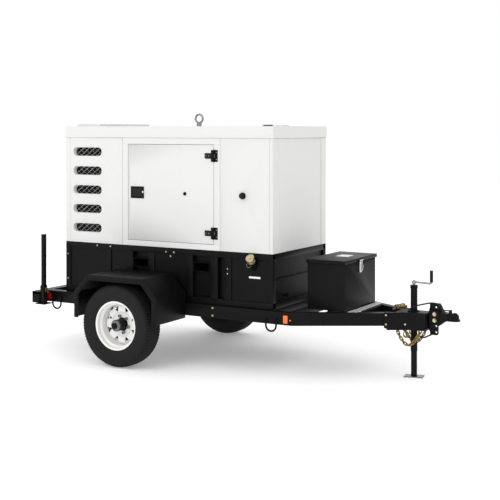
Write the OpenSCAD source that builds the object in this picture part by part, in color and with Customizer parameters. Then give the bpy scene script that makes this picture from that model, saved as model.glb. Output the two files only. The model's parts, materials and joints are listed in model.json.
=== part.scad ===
// Towable diesel generator: a sheet-steel sound enclosure on a fuel-tank skid,
// carried by a single-axle road trailer with an A-frame tongue.
// +X points towards the tongue, -Y is the right-hand side, +Z is up.
// The origin is on the ground under the middle of the overall box.

/* [Trailer frame] */
// Height of the top of the frame rails above the ground
rail_top = 510; // [480:1:540]
// Depth of the frame rails
rail_h = 100; // [90:1:110]
// Width of the frame rails
rail_w = 65; // [55:1:75]
// Half of the width over the two frame rails
rail_out = 538; // [530:1:545]
// Turn-in angle of each tongue rail
tongue_angle = 30; // [28:0.5:31]
// Reach of the trailer to each side of the origin along X
reach = 1870; // [1860:1:1880]

/* [Enclosure] */
// Length of the enclosure and its skid
case_l = 2110; // [2080:1:2140]
// Width of the enclosure and its skid
case_w = 968; // [950:1:980]
// Front face of the enclosure, from the origin
case_front = 485; // [475:1:495]
// Height of the bottom edge of the white enclosure
case_z0 = 955; // [945:1:965]
// Height of the flat roof
roof_z = 1980; // [1960:1:2000]
// Depth of the roof band
roof_band = 97; // [80:1:110]
// Width of each service door
door_w = 866; // [850:1:880]
// Height of each service door
door_h = 820; // [800:1:840]
// Pitch of the louvre slots
slot_pitch = 168; // [160:1:172]

/* [Running gear] */
// Outer diameter of the tyres
tyre_d = 689; // [680:1:700]
// Section width of the tyres
tyre_w = 205; // [195:1:215]
// Distance between the middles of the two tyres
track = 1700; // [1690:1:1710]
// Position of the wheel centres along X
wheel_x = -740; // [-745:1:-735]
// Length of the torsion arms
arm_l = 150; // [145:1:155]

/* [Jacks and coupler] */
// Position of the tongue jack along X
jack_x = 1492; // [1488:1:1496]
// Lift of the tongue jack
jack_lift = 190; // [170:1:195]
// Pitch of the pin holes in the stabiliser legs
stab_pitch = 60; // [55:1:60]
// Pitch of the holes in the coupler adjusting plate
adjust_pitch = 49; // [47:1:51]

/* [Hidden] */
$fn = 48;

fit = 0.05;
weld = 0.2;
case_rear = case_front - case_l;
case_y = case_w / 2;
rail_bottom = rail_top - rail_h;
band_z = roof_z - roof_band;
rail_rear = -reach + 80;
bend_x = 680;
rail_end = 1420;
bumper_y = 655;
lamp_y = [430, 560];
lamp_z = [430, 490];
pocket_z0 = 772;
pocket_h = 78;
pocket_x = [-885, -270];
pocket_l = 156;
seam_x = [-1000, -10];
door_x1 = -73;
door_x0 = door_x1 - door_w;
door_z0 = 1005;
door_z1 = door_z0 + door_h;
hinge_x = -70;
hinge_y = case_y + 8;
hinge_z = [1046, 1686];
slot_x0 = -1544;
slot_l = 318;
slot_h = 79;
slot_z = 1421;
paddle_x0 = -908;
paddle_w = 135;
paddle_z0 = 1363;
paddle_h = 101;
stop_x = 206;
stop_z = 1414;
tyre_r = tyre_d / 2;
wheel_y = track / 2;
axle_z = tyre_r + 27;
axle_x = wheel_x + sqrt(arm_l * arm_l - 27 * 27);
box_x0 = 705;
box_x1 = 1030;
box_y = 305;
box_z1 = 886;
lid_axis_x = 690;
latch_x = 1792;
latch_z = 541;
stab_x = -1766;
stab_half = 16;
stab_y = 621;
stab_pin_z = 540;
pin_r = 6;
plate_x0 = 1627;
plate_x1 = 1694;
plate_bolt_x = 1677;
plate_z = 465;
cap_at = [309, -545, 920];
shaft_y = 0;
shaft_z = 1250;
black = "#1d1d1f";
white = "#f2f2f0";
gold = "#c9a24a";
steel = "#b9bcc0";

// ---- shared shapes ----

// A block given by its two corners.
module block(a, b) {
    translate(a)
        cube(b - a);
}

// The same children on the right side and mirrored to the left side.
module both_sides() {
    children();
    mirror([0, 1, 0])
        children();
}

// A straight bar of round section from one end along an axis given by two turns.
module rod_y(x, y0, y1, z, r) {
    translate([x, y1, z])
        rotate([90, 0, 0])
            cylinder(r = r, h = y1 - y0);
}

module rod_x(x0, x1, y, z, r) {
    translate([x0, y, z])
        rotate([0, 90, 0])
            cylinder(r = r, h = x1 - x0);
}

module rod_z(x, y, z0, z1, r) {
    translate([x, y, z0])
        cylinder(r = r, h = z1 - z0);
}

// A rectangular tube between two corners, open along one axis (0 = X, 1 = Y, 2 = Z).
module box_tube(a, b, wall, axis) {
    open = [for (i = [0:2]) i == axis ? -1 : wall];
    difference() {
        block(a, b);
        block(a + open, b - open);
    }
}

// A rounded rectangle that keeps true arcs: two bars and four corner discs.
module round_rect(l, h, r) {
    square([l - 2 * r, h], center = true);
    square([l, h - 2 * r], center = true);
    for (sx = [-1, 1], sz = [-1, 1])
        translate([sx * (l / 2 - r), sz * (h / 2 - r)])
            circle(r);
}

// Sets a 2D shape drawn in X and Z upright, from y0 to y1.
module upright(y0, y1) {
    translate([0, y1, 0])
        rotate([90, 0, 0])
            linear_extrude(y1 - y0)
                children();
}

// A hexagon bolt head with its washer, facing -Y.
module bolt_y(x, y, z, r) {
    rod_y(x, y - 2, y, z, 1.25 * r);
    translate([x, y - 2, z])
        rotate([90, 0, 0])
            cylinder(r = r, h = 0.7 * r, $fn = 6);
}

// ---- swept tubes ----
function unit(v) = v / norm(v);
function catmull(p, i, t) =
    let (a = p[max(i - 1, 0)], b = p[i], c = p[i + 1], d = p[min(i + 2, len(p) - 1)])
    0.5 * (2 * b + (c - a) * t + (2 * a - 5 * b + 4 * c - d) * t * t
    + (3 * b - 3 * c + d - a) * t * t * t);
function smooth_route(p, n) = concat(
    [for (i = [0:len(p) - 2], k = [0:n - 1]) catmull(p, i, k / n)],
    [p[len(p) - 1]]);
function tangent(q, i) = unit(q[min(i + 1, len(q) - 1)] - q[max(i - 1, 0)]);
function ring(q, i, r, sides) =
    let (t = tangent(q, i), u = unit(cross(t, [0, 1, 0])), w = cross(t, u))
    [for (k = [0:sides - 1]) q[i] + r * (cos(360 * k / sides) * u + sin(360 * k / sides) * w)];

// A tube of radius r along a route, closed at both ends.
module swept_tube(route, r, n) {
    sides = 8;
    q = smooth_route(route, n);
    last = len(q) - 1;
    points = [for (i = [0:last]) each ring(q, i, r, sides)];
    walls = [for (i = [0:last - 1], k = [0:sides - 1])
        let (m = (k + 1) % sides)
        [i * sides + k, i * sides + m, (i + 1) * sides + m, (i + 1) * sides + k]];
    near = [[for (k = [sides - 1:-1:0]) k]];
    far = [[for (k = [0:sides - 1]) last * sides + k]];
    polyhedron(points, concat(walls, near, far));
}

// ---- trailer frame ----

// A line at distance d inside the rails' outer face, on the right side.
function rail_line(d) =
    let (x = bend_x - d * tan(tongue_angle / 2))
    [[rail_rear, -rail_out + d], [x, -rail_out + d],
     [rail_end, -rail_out + d + (rail_end - x) * tan(tongue_angle)]];
// Carries a rail line's last point on beyond the cut end, so that the hollow opens there.
function past_end(p) = p[0] > bend_x + 100 ? p + 60 * [1, tan(tongue_angle)] : p;
function reversed(p) = [for (i = [len(p) - 1:-1:0]) p[i]];
// The same plan outline on the left side, in the order that closes the shape.
function mirrored(p) = [for (q = reversed(p)) [q[0], -q[1]]];
// Half of the clear width between the tongue rails at a place along X.
function inner_y(x) =
    rail_out - rail_w - max(0, x - bend_x + rail_w * tan(tongue_angle / 2)) * tan(tongue_angle);

module frame_rails() {
    wall = 5;
    color(black) both_sides()
        difference() {
            translate([0, 0, rail_bottom])
                linear_extrude(rail_h)
                    polygon(concat(rail_line(0), reversed(rail_line(rail_w))));
            translate([0, 0, rail_bottom + wall])
                linear_extrude(rail_h - 2 * wall)
                    polygon(concat(
                        [for (p = rail_line(wall)) past_end(p)],
                        reversed([for (p = rail_line(rail_w - wall)) past_end(p)])));
        }
}

module cross_members() {
    depth = 70;
    clear_y = rail_out - rail_w;
    color(black) {
        for (x = [-1560, -1080, -560, -60, 430])
            box_tube([x, -clear_y, rail_top - depth], [x + 50, clear_y, rail_top], 4, 1);
        box_tube([630, -clear_y, rail_top - depth], [655, clear_y, rail_top], 4, 1);
        for (x = [880, 1120])
            translate([0, 0, rail_top - depth])
                linear_extrude(depth)
                    polygon([[x, -inner_y(x)], [x + 12, -inner_y(x + 12)], [x + 12, inner_y(x + 12)], [x, inner_y(x)]]);
        difference() {
            union() {
                box_tube([-reach, -bumper_y, rail_bottom], [rail_rear, bumper_y, rail_top], 5, 1);
                both_sides()
                    block([-reach + 4, -bumper_y, rail_bottom + 4], [rail_rear - 4, -bumper_y + 5, rail_top - 25]);
            }
            both_sides()
                block([-reach - 1, -lamp_y[1], lamp_z[0]], [-reach + 6, -lamp_y[0], lamp_z[1]]);
        }
    }
}

// The nose of the tongue: a folded housing that wraps both rail ends.
module nose_housing() {
    wall = 6;
    x0 = 1310;
    x2 = 1612;
    slim = 70;
    slope = tan(tongue_angle);
    wide = rail_out - (x0 - bend_x) * slope + (wall + 0.5) / cos(tongue_angle);
    x1 = x0 + (wide - slim) / slope;
    z0 = rail_bottom - 32;
    z1 = rail_top + wall;
    thick = wall / cos(tongue_angle);
    inner_x1 = x0 + (wide - thick - slim + wall) / slope;
    right_side = [[x0, -wide], [x1, -slim], [x2, -slim]];
    room_side = [[x0 - 30, -wide + thick - 30 * slope], [inner_x1, -slim + wall], [x2 - wall, -slim + wall]];
    outline = concat(right_side, mirrored(right_side));
    room = concat(room_side, mirrored(room_side));
    color(black)
        difference() {
            translate([0, 0, z0])
                linear_extrude(z1 - z0)
                    polygon(outline);
            translate([0, 0, z0 + wall])
                linear_extrude(z1 - z0 - 2 * wall)
                    polygon(room);
            rod_z(jack_x, 0, z0 - 5, z1 + 5, 27.3);
            translate([x0 - 60, -260, z0 - 1])
                rotate([0, 22, 0])
                    cube([70, 520, 40]);
            block([x0 - 30, -130, z1 - 20], [x0 + 60, 130, z1 + 1]);
        }
}

// The grey tread plate behind the tongue nose.
module step_grating() {
    x0 = 1046;
    x1 = 1112;
    color("#8d9093")
        difference() {
            translate([0, 0, rail_top])
                linear_extrude(4)
                    polygon([[x0, -inner_y(x0) - 30], [x1, -inner_y(x1) - 30], [x1, inner_y(x1) + 30], [x0, inner_y(x0) + 30]]);
            for (y = [-240:40:240])
                rod_z((x0 + x1) / 2, y, rail_top - 1, rail_top + 5, 9);
        }
}

// ---- skid base ----

// A C-shaped post with its web flush with the skid's side.
module base_post(x0, x1) {
    z0 = rail_top + 50 + weld;
    z1 = case_z0 - 50 - weld;
    difference() {
        block([x0, -case_y, z0], [x1, -case_y + 40, z1]);
        block([x0 + 4, -case_y + 4, z0 - 1], [x1 - 4, -case_y + 41, z1 + 1]);
    }
}

// Skid frame of square tube with its posts, fork pockets and the deck under the engine.
module base_frame() {
    z1 = rail_top + 50;
    z2 = case_z0 - 50;
    deck = 6;
    inset = 50 + weld;
    intake_y = [170, 290];
    color(black) {
        for (z = [rail_top, z2]) {
            both_sides()
                box_tube([case_rear, -case_y, z], [case_front, -case_y + 50, z + 50], 4, 0);
            for (x = [case_rear, case_front - 50])
                box_tube([x, -case_y + 50 + weld, z], [x + 50, case_y - 50 - weld, z + 50], 4, 1);
        }
        both_sides()
            for (x = [case_rear, case_front - 50])
                box_tube([x, -case_y, z1 + weld], [x + 50, -case_y + 50, z2 - weld], 4, 2);
        both_sides()
            for (p = [[-1164, -1124], [-928, -890], [-725, -665], [-345, -278], [-105, -33], [28, 98]])
                base_post(p[0], p[1]);
        for (x = pocket_x)
            box_tube([x, -case_y, pocket_z0], [x + pocket_l, case_y, pocket_z0 + pocket_h], 5, 1);
        difference() {
            block([case_rear + inset, -case_y + inset, case_z0 - deck], [case_front - inset, case_y - inset, case_z0]);
            both_sides()
                block([case_rear + 60, -intake_y[1], case_z0 - deck - 1], [-1360, -intake_y[0], case_z0 + 1]);
        }
    }
}

// Room round the filler neck where it passes through the right-hand sheets.
module filler_bore() {
    translate(cap_at)
        rotate([45, 0, 0])
            translate([0, 0, -200])
                cylinder(r = 29, h = 190);
}

module base_panels() {
    z0 = rail_top + 50;
    z1 = case_z0 - 50;
    skin = 3;
    inset = 42;
    gap = 1;
    pocket_end = [for (x = pocket_x) x + pocket_l + gap];
    pocket_z1 = pocket_z0 + pocket_h + gap;
    spans = [
        [case_rear + 50, pocket_x[0] - gap],
        [pocket_end[0], pocket_x[1] - gap],
        [pocket_end[1], case_front - 50]
    ];
    color(black) {
        difference() {
            both_sides() {
                for (p = spans)
                    block([p[0], -case_y + inset, z0], [p[1], -case_y + inset + skin, z1]);
                for (k = [0, 1], z = [[z0, pocket_z0 - gap], [pocket_z1, z1]])
                    block([pocket_x[k] - gap + weld, -case_y + inset, z[0]],
                          [pocket_end[k] - weld, -case_y + inset + skin, z[1]]);
                for (p = [[-1575, -1164], [-1124, -928], [-665, -345], [98, case_front - 50]])
                    block([p[0], -case_y + 8, z0], [p[1], -case_y + 11, z1]);
            }
            filler_bore();
        }
        block([case_front - 20, -case_y + 50, z0], [case_front - 17, case_y - 50, z1]);
        block([case_rear + 17, -case_y + 50, z0], [case_rear + 20, case_y - 50, z1]);
        block([case_front - 17, -case_y + 50, 725], [case_front - 5, case_y - 50, 745]);
        rod_x(case_front - 17, case_front + 22, -259, 600, 12);
        rod_z(case_front + 12, -259, 585, 628, 8);
    }
}

// Flat tank between the fork pockets with the angled filler neck on the right.
module fuel_tank() {
    color(black) {
        difference() {
            block([-90, -425, 575], [410, 425, 880]);
            block([-87, -422, 578], [407, 422, 877]);
            translate([309, -425, 800])
                rotate([45, 0, 0])
                    cylinder(r = 20, h = 90, center = true);
        }
        translate(cap_at)
            rotate([45, 0, 0])
                translate([0, 0, -165])
                    difference() {
                        cylinder(r = 27, h = 165);
                        translate([0, 0, -1])
                            cylinder(r = 23, h = 167);
                    }
    }
}

module fuel_cap() {
    color(gold)
        translate(cap_at)
            rotate([45, 0, 0])
                difference() {
                    union() {
                        translate([0, 0, -20])
                            cylinder(r = 38, h = 29);
                        translate([0, 0, 9])
                            linear_extrude(6)
                                for (a = [0, 90])
                                    rotate(a)
                                        square([56, 10], center = true);
                    }
                    translate([0, 0, -21])
                        cylinder(r = 27.3, h = 22);
                }
}

// ---- enclosure ----

module corner_posts() {
    color(white) both_sides() {
        difference() {
            block([case_rear, -case_y, case_z0], [case_rear + 50, -case_y + 60, band_z]);
            block([case_rear + 3, -case_y + 3, case_z0 - 1], [case_rear + 51, -case_y + 61, band_z + 1]);
        }
        difference() {
            block([case_front - 30, -case_y, case_z0], [case_front, -case_y + 94, band_z]);
            block([case_front - 31, -case_y + 3, case_z0 - 1], [case_front - 3, -case_y + 95, band_z + 1]);
        }
    }
}

module side_skin(x0, x1) {
    block([x0 + 1, -case_y, case_z0], [x1 - 1, -case_y + 3, band_z]);
}

module side_panels() {
    color(white) both_sides()
        difference() {
            union() {
                side_skin(case_rear + 50, seam_x[0]);
                side_skin(seam_x[0], seam_x[1]);
                side_skin(seam_x[1], case_front - 30);
            }
            block([door_x0 - 3, -case_y - 1, door_z0 - 3], [door_x1 + 3, -case_y + 4, door_z1 + 3]);
            for (z = [door_z0 - 3, door_z1 + 3])
                block([seam_x[0] + 1, -case_y - 1, z - weld], [seam_x[1] - 1, -case_y + 40, z]);
            for (k = [-2:2])
                upright(-case_y - 1, -case_y + 4)
                    translate([slot_x0 + slot_l / 2, slot_z + k * slot_pitch])
                        round_rect(slot_l, slot_h, 38);
            rod_y(stop_x, -case_y - 1, -case_y + 4, stop_z, 17);
        }
}

module end_panels() {
    color(white) {
        block([case_front - 5, -case_y + 95, case_z0], [case_front - 2, case_y - 95, band_z]);
        block([case_rear + 2, -case_y + 61, case_z0], [case_rear + 5, case_y - 61, band_z]);
    }
}

module roof() {
    lip = 6;
    skin = 3;
    color(white) {
        difference() {
            block([case_rear - lip, -case_y - lip, band_z], [case_front + lip, case_y + lip, roof_z]);
            block([case_rear - lip + skin, -case_y - lip + skin, band_z - 1],
                  [case_front + lip - skin, case_y + lip - skin, roof_z - skin]);
            rod_z(140, 60, roof_z - 10, roof_z + 10, 44);
        }
        block([case_rear + 50, -380, roof_z], [case_rear + 300, 380, roof_z + 22]);
        block([230, -20, roof_z], [330, 80, roof_z + 10]);
    }
}

// Expanded-metal sheets behind the louvre slots: flat bars crossing at a slant.
module louvre_mesh() {
    bar = 3;
    step = 16;
    color("#6f7478") both_sides()
        for (k = [-2:2])
            upright(-case_y + 5, -case_y + 7)
                translate([slot_x0 + slot_l / 2, slot_z + k * slot_pitch])
                    difference() {
                        square([slot_l + 20, slot_h + 20], center = true);
                        for (i = [-9:9], j = [-2:2])
                            translate([(i + (j % 2 == 0 ? 0 : 0.5)) * step, j * step])
                                square([step - bar, step - bar], center = true);
                    }
}

module lifting_eye() {
    eye_x = -521;
    color(steel) {
        translate([eye_x, 0, 2049])
            rotate([90, 0, 0])
                rotate_extrude()
                    translate([37, 0])
                        circle(9);
        rod_z(eye_x, 0, roof_z, 2009, 22);
        rod_z(eye_x, 0, 1990, 2017, 14);
    }
}

// Fixed hinge leaves with their pins on both sides, and the collar of the stop button.
module panel_hardware() {
    leaf_l = 98;
    third = leaf_l / 3;
    color(black) {
        both_sides()
            for (z = hinge_z) {
                difference() {
                    block([hinge_x + 9, -case_y - 3, z], [hinge_x + 38, -case_y, z + leaf_l]);
                    for (dz = [20, 78])
                        rod_y(hinge_x + 28, -case_y - 4, -case_y + 1, z + dz, 4);
                }
                for (dz = [0, 2 * third]) {
                    block([hinge_x, -case_y - 3, z + dz], [hinge_x + 10, -case_y, z + dz + third]);
                    rod_z(hinge_x, -hinge_y, z + dz, z + dz + third, 7);
                }
                rod_z(hinge_x, -hinge_y, z - 2, z + leaf_l + 2, 3);
            }
        difference() {
            rod_y(stop_x, -case_y - 10, -case_y, stop_z, 27);
            rod_y(stop_x, -case_y - 11, -case_y + 1, stop_z, 16);
        }
    }
}

// ---- doors ----

module door_right() {
    skin = 2;
    flange = 24;
    color(white)
        difference() {
            block([door_x0, -case_y, door_z0], [door_x1, -case_y + flange, door_z1]);
            block([door_x0 + skin, -case_y + skin, door_z0 + skin],
                  [door_x1 - skin, -case_y + flange + 1, door_z1 - skin]);
            block([paddle_x0 + 14, -case_y - 1, paddle_z0 + 12],
                  [paddle_x0 + paddle_w - 14, -case_y + 3, paddle_z0 + paddle_h - 12]);
        }
}

// Hinge straps, latch frame and stay stud: everything black that rides on the door.
module door_hardware_right() {
    leaf_l = 98;
    third = leaf_l / 3;
    gap = 0.3;
    color(black) {
        for (z = hinge_z)
            difference() {
                union() {
                    block([hinge_x - 86, -case_y - 4, z + third + gap], [hinge_x, -case_y, z + 2 * third - gap]);
                    block([hinge_x - 26, -case_y - 4, z + 1], [hinge_x - 8, -case_y, z + leaf_l - 1]);
                    rod_z(hinge_x, -hinge_y, z + third + gap, z + 2 * third - gap, 7);
                }
                rod_z(hinge_x, -hinge_y, z, z + leaf_l, 3 + fit);
            }
        difference() {
            block([paddle_x0, -case_y - 6, paddle_z0], [paddle_x0 + paddle_w, -case_y, paddle_z0 + paddle_h]);
            block([paddle_x0 + 14, -case_y - 7, paddle_z0 + 12],
                  [paddle_x0 + paddle_w - 14, -case_y + 1, paddle_z0 + paddle_h - 12]);
        }
        rod_y(-354, -case_y - 5, -case_y, 1415, 15);
    }
}

module door_paddle_right() {
    x0 = paddle_x0 + 16;
    x1 = paddle_x0 + paddle_w - 16;
    top = paddle_z0 + paddle_h - 15;
    color(black) {
        block([x0, -case_y - 5, paddle_z0 + 15], [x1, -case_y - 1, top]);
        rod_x(x0, x1, -case_y - 3, top - 1, 2.5);
    }
}

module door_left() {
    mirror([0, 1, 0])
        door_right();
}

module door_hardware_left() {
    mirror([0, 1, 0])
        door_hardware_right();
}

module door_paddle_left() {
    mirror([0, 1, 0])
        door_paddle_right();
}

module stop_button() {
    color(black) {
        rod_y(stop_x, -case_y - 9, -case_y + 22, stop_z, 15.5);
        rod_y(stop_x, -case_y - 24, -case_y - 18, stop_z, 22);
        rod_y(stop_x, -case_y - 19, -case_y - 8, stop_z, 12);
    }
}

// ---- what the enclosure holds ----

// Cylinder block with its crank chamber, head, sump, feet and air cleaner.
module engine_block() {
    color("#3d4a3f") {
        difference() {
            union() {
                block([-1080, -170, 1030], [-480, 170, 1330]);
                block([-1040, -110, 1330], [-520, 110, 1540]);
                block([-1010, -120, 965], [-560, 120, 1030]);
            }
            block([-1050, -145, 1055], [-510, 145, 1315]);
            block([-990, -105, 980], [-580, 105, 1056]);
            block([-1020, -90, 1400], [-540, 90, 1525]);
            rod_x(-1100, -460, shaft_y, shaft_z, 30 + fit);
        }
        for (x = [-1000, -620])
            both_sides()
                block([x, -420, 1060], [x + 60, -170, 1090]);
        for (x = [-1000, -620])
            both_sides()
                block([x, -420, case_z0], [x + 60, -360, 1060]);
        rod_x(-960, -640, -240, 1480, 85);
        block([-820, -180, 1440], [-780, -110, 1500]);
    }
}

module alternator() {
    color("#3b3f46") {
        difference() {
            rod_x(-480, 60, shaft_y, shaft_z, 215);
            rod_x(-481, 40, shaft_y, shaft_z, 190);
        }
        difference() {
            block([-380, -100, 1455], [-60, 100, 1560]);
            block([-376, -96, 1470], [-64, 96, 1556]);
        }
        both_sides()
            for (x = [-320, -100])
                block([x, -190, case_z0], [x + 40, -120, 1075]);
    }
}

// Crankshaft, rotor and the fan on the crankshaft's nose: they turn as one.
module crankshaft_and_fan() {
    color(steel) {
        rod_x(-1190, 0, shaft_y, shaft_z, 30);
        rod_x(-440, -20, shaft_y, shaft_z, 130);
        rod_x(-1140, -1110, shaft_y, shaft_z, 90);
        rod_x(-1200, -1165, shaft_y, shaft_z, 60);
        translate([-1182, shaft_y, shaft_z])
            rotate([0, 90, 0])
                for (a = [0:60:300])
                    rotate(a)
                        translate([55, -30, -8])
                            cube([165, 60, 5]);
    }
}

// Radiator core with its tanks, and the thin shroud round the fan.
module radiator() {
    color(black) {
        difference() {
            block([-1330, -400, 1000], [-1250, 400, 1700]);
            for (i = [-7:7])
                block([-1331, i * 50 - 21, 1060], [-1249, i * 50 + 21, 1640]);
        }
        difference() {
            block([-1250, -330, 970], [-1160, 330, 1560]);
            block([-1251, -326, 974], [-1164, 326, 1556]);
            rod_x(-1251, -1159, shaft_y, shaft_z, 240);
        }
        for (y = [-400, 340])
            block([-1320, y, case_z0], [-1260, y + 60, 1000]);
    }
}

// Silencer under the roof with its pipes from the engine and out through the roof.
module exhaust_system() {
    pipe = 28;
    wall = 3;
    rise_x = -560;
    out_x = 140;
    box_x = 190;
    color("#6b5f56") {
        difference() {
            union() {
                rod_y(box_x, -260, 300, 1720, 105);
                rod_z(out_x, 60, 1780, roof_z - 12, 32);
                rod_x(rise_x, box_x, 140, 1700, pipe);
                rod_y(rise_x, 140 - pipe, 140 + pipe, 1700, pipe);
                rod_z(rise_x, 140, 1450, 1700, pipe);
                block([rise_x - 30, 112, 1430], [rise_x + 30, 170, 1452]);
            }
            rod_y(box_x, -260 + wall, 300 - wall, 1720, 105 - wall);
            rod_z(out_x, 60, 1780, roof_z, 32 - wall);
            rod_x(rise_x, box_x, 140, 1700, pipe - wall);
            rod_z(rise_x, 140, 1429, 1700, pipe - wall);
        }
        difference() {
            rod_z(out_x, 60, roof_z - 14, roof_z + 14, 42);
            rod_z(out_x, 60, roof_z - 6, roof_z + 15, 36);
            rod_z(out_x, 60, roof_z - 15, roof_z, 32 - wall);
        }
    }
}

module battery() {
    color("#2a2b2e") {
        block([200, 150, case_z0], [380, 430, 1150]);
        for (y = [200, 380])
            rod_z(290, y, 1150, 1168, 9);
    }
}

module control_panel() {
    color("#c9ccd0") {
        difference() {
            block([150, -420, 1150], [420, -150, 1600]);
            block([152, -418, 1152], [418, -152, 1598]);
        }
        for (z = [1240, 1330, 1420])
            rod_y(285, -428, -419, z, 16);
        block([200, -424, 1470], [370, -419, 1560]);
        block([260, -300, case_z0], [300, -260, 1150]);
    }
}

// ---- running gear ----

// The angular fender as a path of points (X, Z), shrunk by d all round.
function fender_path(d, foot) =
    let (c = -728, h = 415 - d, s = 280 - 0.4 * d, t = 750 - d)
    [[c - h, foot], [c - h, 600 - 0.4 * d], [c - s, t], [c + s, t], [c + h, 600 - 0.4 * d], [c + h, foot]];

module fenders() {
    skin = 4;
    outer = 966;
    foot = 388;
    color(black) both_sides() {
        upright(-outer, -rail_out)
            difference() {
                polygon(fender_path(0, foot));
                polygon(fender_path(skin, foot - 50));
            }
        upright(-outer, -outer + skin)
            difference() {
                polygon(fender_path(0, foot));
                polygon(fender_path(45, foot - 50));
            }
        upright(-rail_out - skin, -rail_out)
            polygon(fender_path(1, rail_bottom + 2));
    }
}

module tie_down_rings() {
    half = 46;
    bar = 7;
    color(black) both_sides()
        for (x = [-1680, 500])
            upright(-rail_out - 14, -rail_out)
                translate([x, rail_bottom - 10])
                    difference() {
                        union() {
                            circle(half + bar);
                            translate([-half - bar, 0])
                                square([2 * (half + bar), 60]);
                        }
                        circle(half - bar);
                        translate([-half + bar, 0])
                            square([2 * (half - bar), 48]);
                    }
}

module amber_markers() {
    color("#e8741a") both_sides()
        block([610, -rail_out - 14, 424], [650, -rail_out, 490]);
}

// Red markers on the rails' sides and the tail lamps let into the bumper.
module red_lamps() {
    color("#b01217") both_sides() {
        block([stab_x - 22, -rail_out - 14, 429], [stab_x + 18, -rail_out, 489]);
        block([-reach, -lamp_y[1], lamp_z[0]], [-reach + 5, -lamp_y[0], lamp_z[1]]);
    }
}

// Square axle tube with its end bushes and the rubber cords that spring the arms.
module axle_tube() {
    half = 38;
    inner = 33;
    color(black)
        difference() {
            union() {
                box_tube([axle_x - half, -600, axle_z - half], [axle_x + half, 600, axle_z + half], 5, 1);
                both_sides()
                    for (y = [-600, -420])
                        block([axle_x - inner, y, axle_z - inner], [axle_x + inner, y + 15, axle_z + inner]);
            }
            rod_y(axle_x, -601, -400, axle_z, 24 + fit);
            rod_y(axle_x, 400, 601, axle_z, 24 + fit);
        }
    color("#2c2c2c") both_sides()
        for (sx = [-1, 1], sz = [-1, 1])
            rod_y(axle_x + sx * 24.4, -580, -410, axle_z + sz * 24.4, 8.3);
}

// Torsion shaft, swinging arm, spindle and the brake's backing plate.
module torsion_arm_right() {
    color(black) {
        rod_y(axle_x, -612, -402, axle_z, 24);
        hull() {
            rod_y(axle_x, -636, -604, axle_z, 34, $fn = 32);
            rod_y(wheel_x, -636, -604, tyre_r, 30, $fn = 32);
        }
        rod_y(wheel_x, -700, -630, tyre_r, 28);
        rod_y(wheel_x, -694, -690, tyre_r, 142);
        rod_y(wheel_x, -880, -690, tyre_r, 17);
    }
}

module torsion_arm_left() {
    mirror([0, 1, 0])
        torsion_arm_right();
}

// Brake drum, hub barrel, grease cap, studs and lug nuts.
module hub_right() {
    studs = 6;
    rim_y = wheel_y - 17.5;
    color(black) {
        difference() {
            union() {
                rod_y(wheel_x, -rim_y, -700, tyre_r, 138);
                rod_y(wheel_x, -926, -829, tyre_r, 46);
            }
            rod_y(wheel_x, -815, -699, tyre_r, 128);
            rod_y(wheel_x, -890, -699, tyre_r, 17 + fit);
        }
        rod_y(wheel_x, -936, -925, tyre_r, 31);
        rod_y(wheel_x, -944, -935, tyre_r, 27);
    }
    color(steel)
        for (k = [0:studs - 1])
            translate([wheel_x, 0, tyre_r])
                rotate([0, 14 + k * 360 / studs, 0])
                    translate([69.85, 0, 0]) {
                        rod_y(0, -862, -829, 0, 6);
                        translate([0, -836.5, 0])
                            rotate([90, 0, 0])
                                cylinder(r = 12, h = 22, $fn = 6);
                    }
}

module hub_left() {
    mirror([0, 1, 0])
        hub_right();
}

// A steel disc wheel turned about Y, with eight windows in its dish.
module rim_right() {
    bead_side = [[208, 80.5], [200, 80.5], [190.2, 76], [190.2, 46], [172, 34],
                 [172, -34], [190.2, -46], [190.2, -76], [200, -80.5], [208, -80.5]];
    open_side = [[208, -84], [198, -84], [186.7, -79], [186.7, -48], [168.5, -36],
                 [168.5, 36], [186.7, 48], [186.7, 79], [198, 84], [208, 84]];
    dish = [[56, 14.5], [92, 14.5], [106, 24], [150, 24], [167.2, 8], [167.2, 2], [148, 19.5], [108, 19.5], [94, 10.5], [56, 10.5]];
    color("#f4f4f4")
        translate([wheel_x, -wheel_y, tyre_r])
            rotate([90, 0, 0])
                difference() {
                    union() {
                        rotate_extrude($fn = 96)
                            polygon(concat(bead_side, open_side));
                        translate([0, 0, -28])
                            rotate_extrude($fn = 96)
                                polygon(dish);
                    }
                    for (k = [0:7])
                        rotate(k * 45 + 22.5)
                            translate([0, 0, -40])
                                linear_extrude(60)
                                    polygon([[104, 0], [148, -26], [148, 26]]);
                    for (k = [0:5])
                        rotate(-14 - k * 60)
                            translate([69.85, 0, -40])
                                cylinder(r = 8, h = 60);
                }
}

module rim_left() {
    mirror([0, 1, 0])
        rim_right();
}

// A tubeless trailer tyre with four round grooves in its tread.
module tyre_right() {
    w = tyre_w / 2;
    r = tyre_r;
    groove = 7;
    profile = concat(
        [[190.5, -74.5], [198, -78], [208.5, -79.5], [214, -87], [240, -98], [272, -w], [300, -99], [325, -90], [338, -80]],
        [[r - 1.5, -68]],
        [for (y = [-46, -16, 16, 46]) each
            [[r, y - 4], [r - groove, y - 3], [r - groove, y + 3], [r, y + 4]]],
        [[r - 1.5, 68]],
        [[338, 80], [325, 90], [300, 99], [272, w], [240, 98], [214, 87], [208.5, 79.5], [198, 78], [190.5, 74.5]],
        [[190.5, 60], [215, 68], [245, 84], [272, 90], [300, 86], [320, 76], [326, 60]],
        [[326, -60], [320, -76], [300, -86], [272, -90], [245, -84], [215, -68], [190.5, -60]]);
    color("#2b2b2c")
        translate([wheel_x, -wheel_y, tyre_r])
            rotate([90, 0, 0])
                rotate_extrude($fn = 96)
                    polygon(profile);
}

module tyre_left() {
    mirror([0, 1, 0])
        tyre_right();
}

// ---- toolbox ----

lid_knuckles = [-240, 0, 240];

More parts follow.
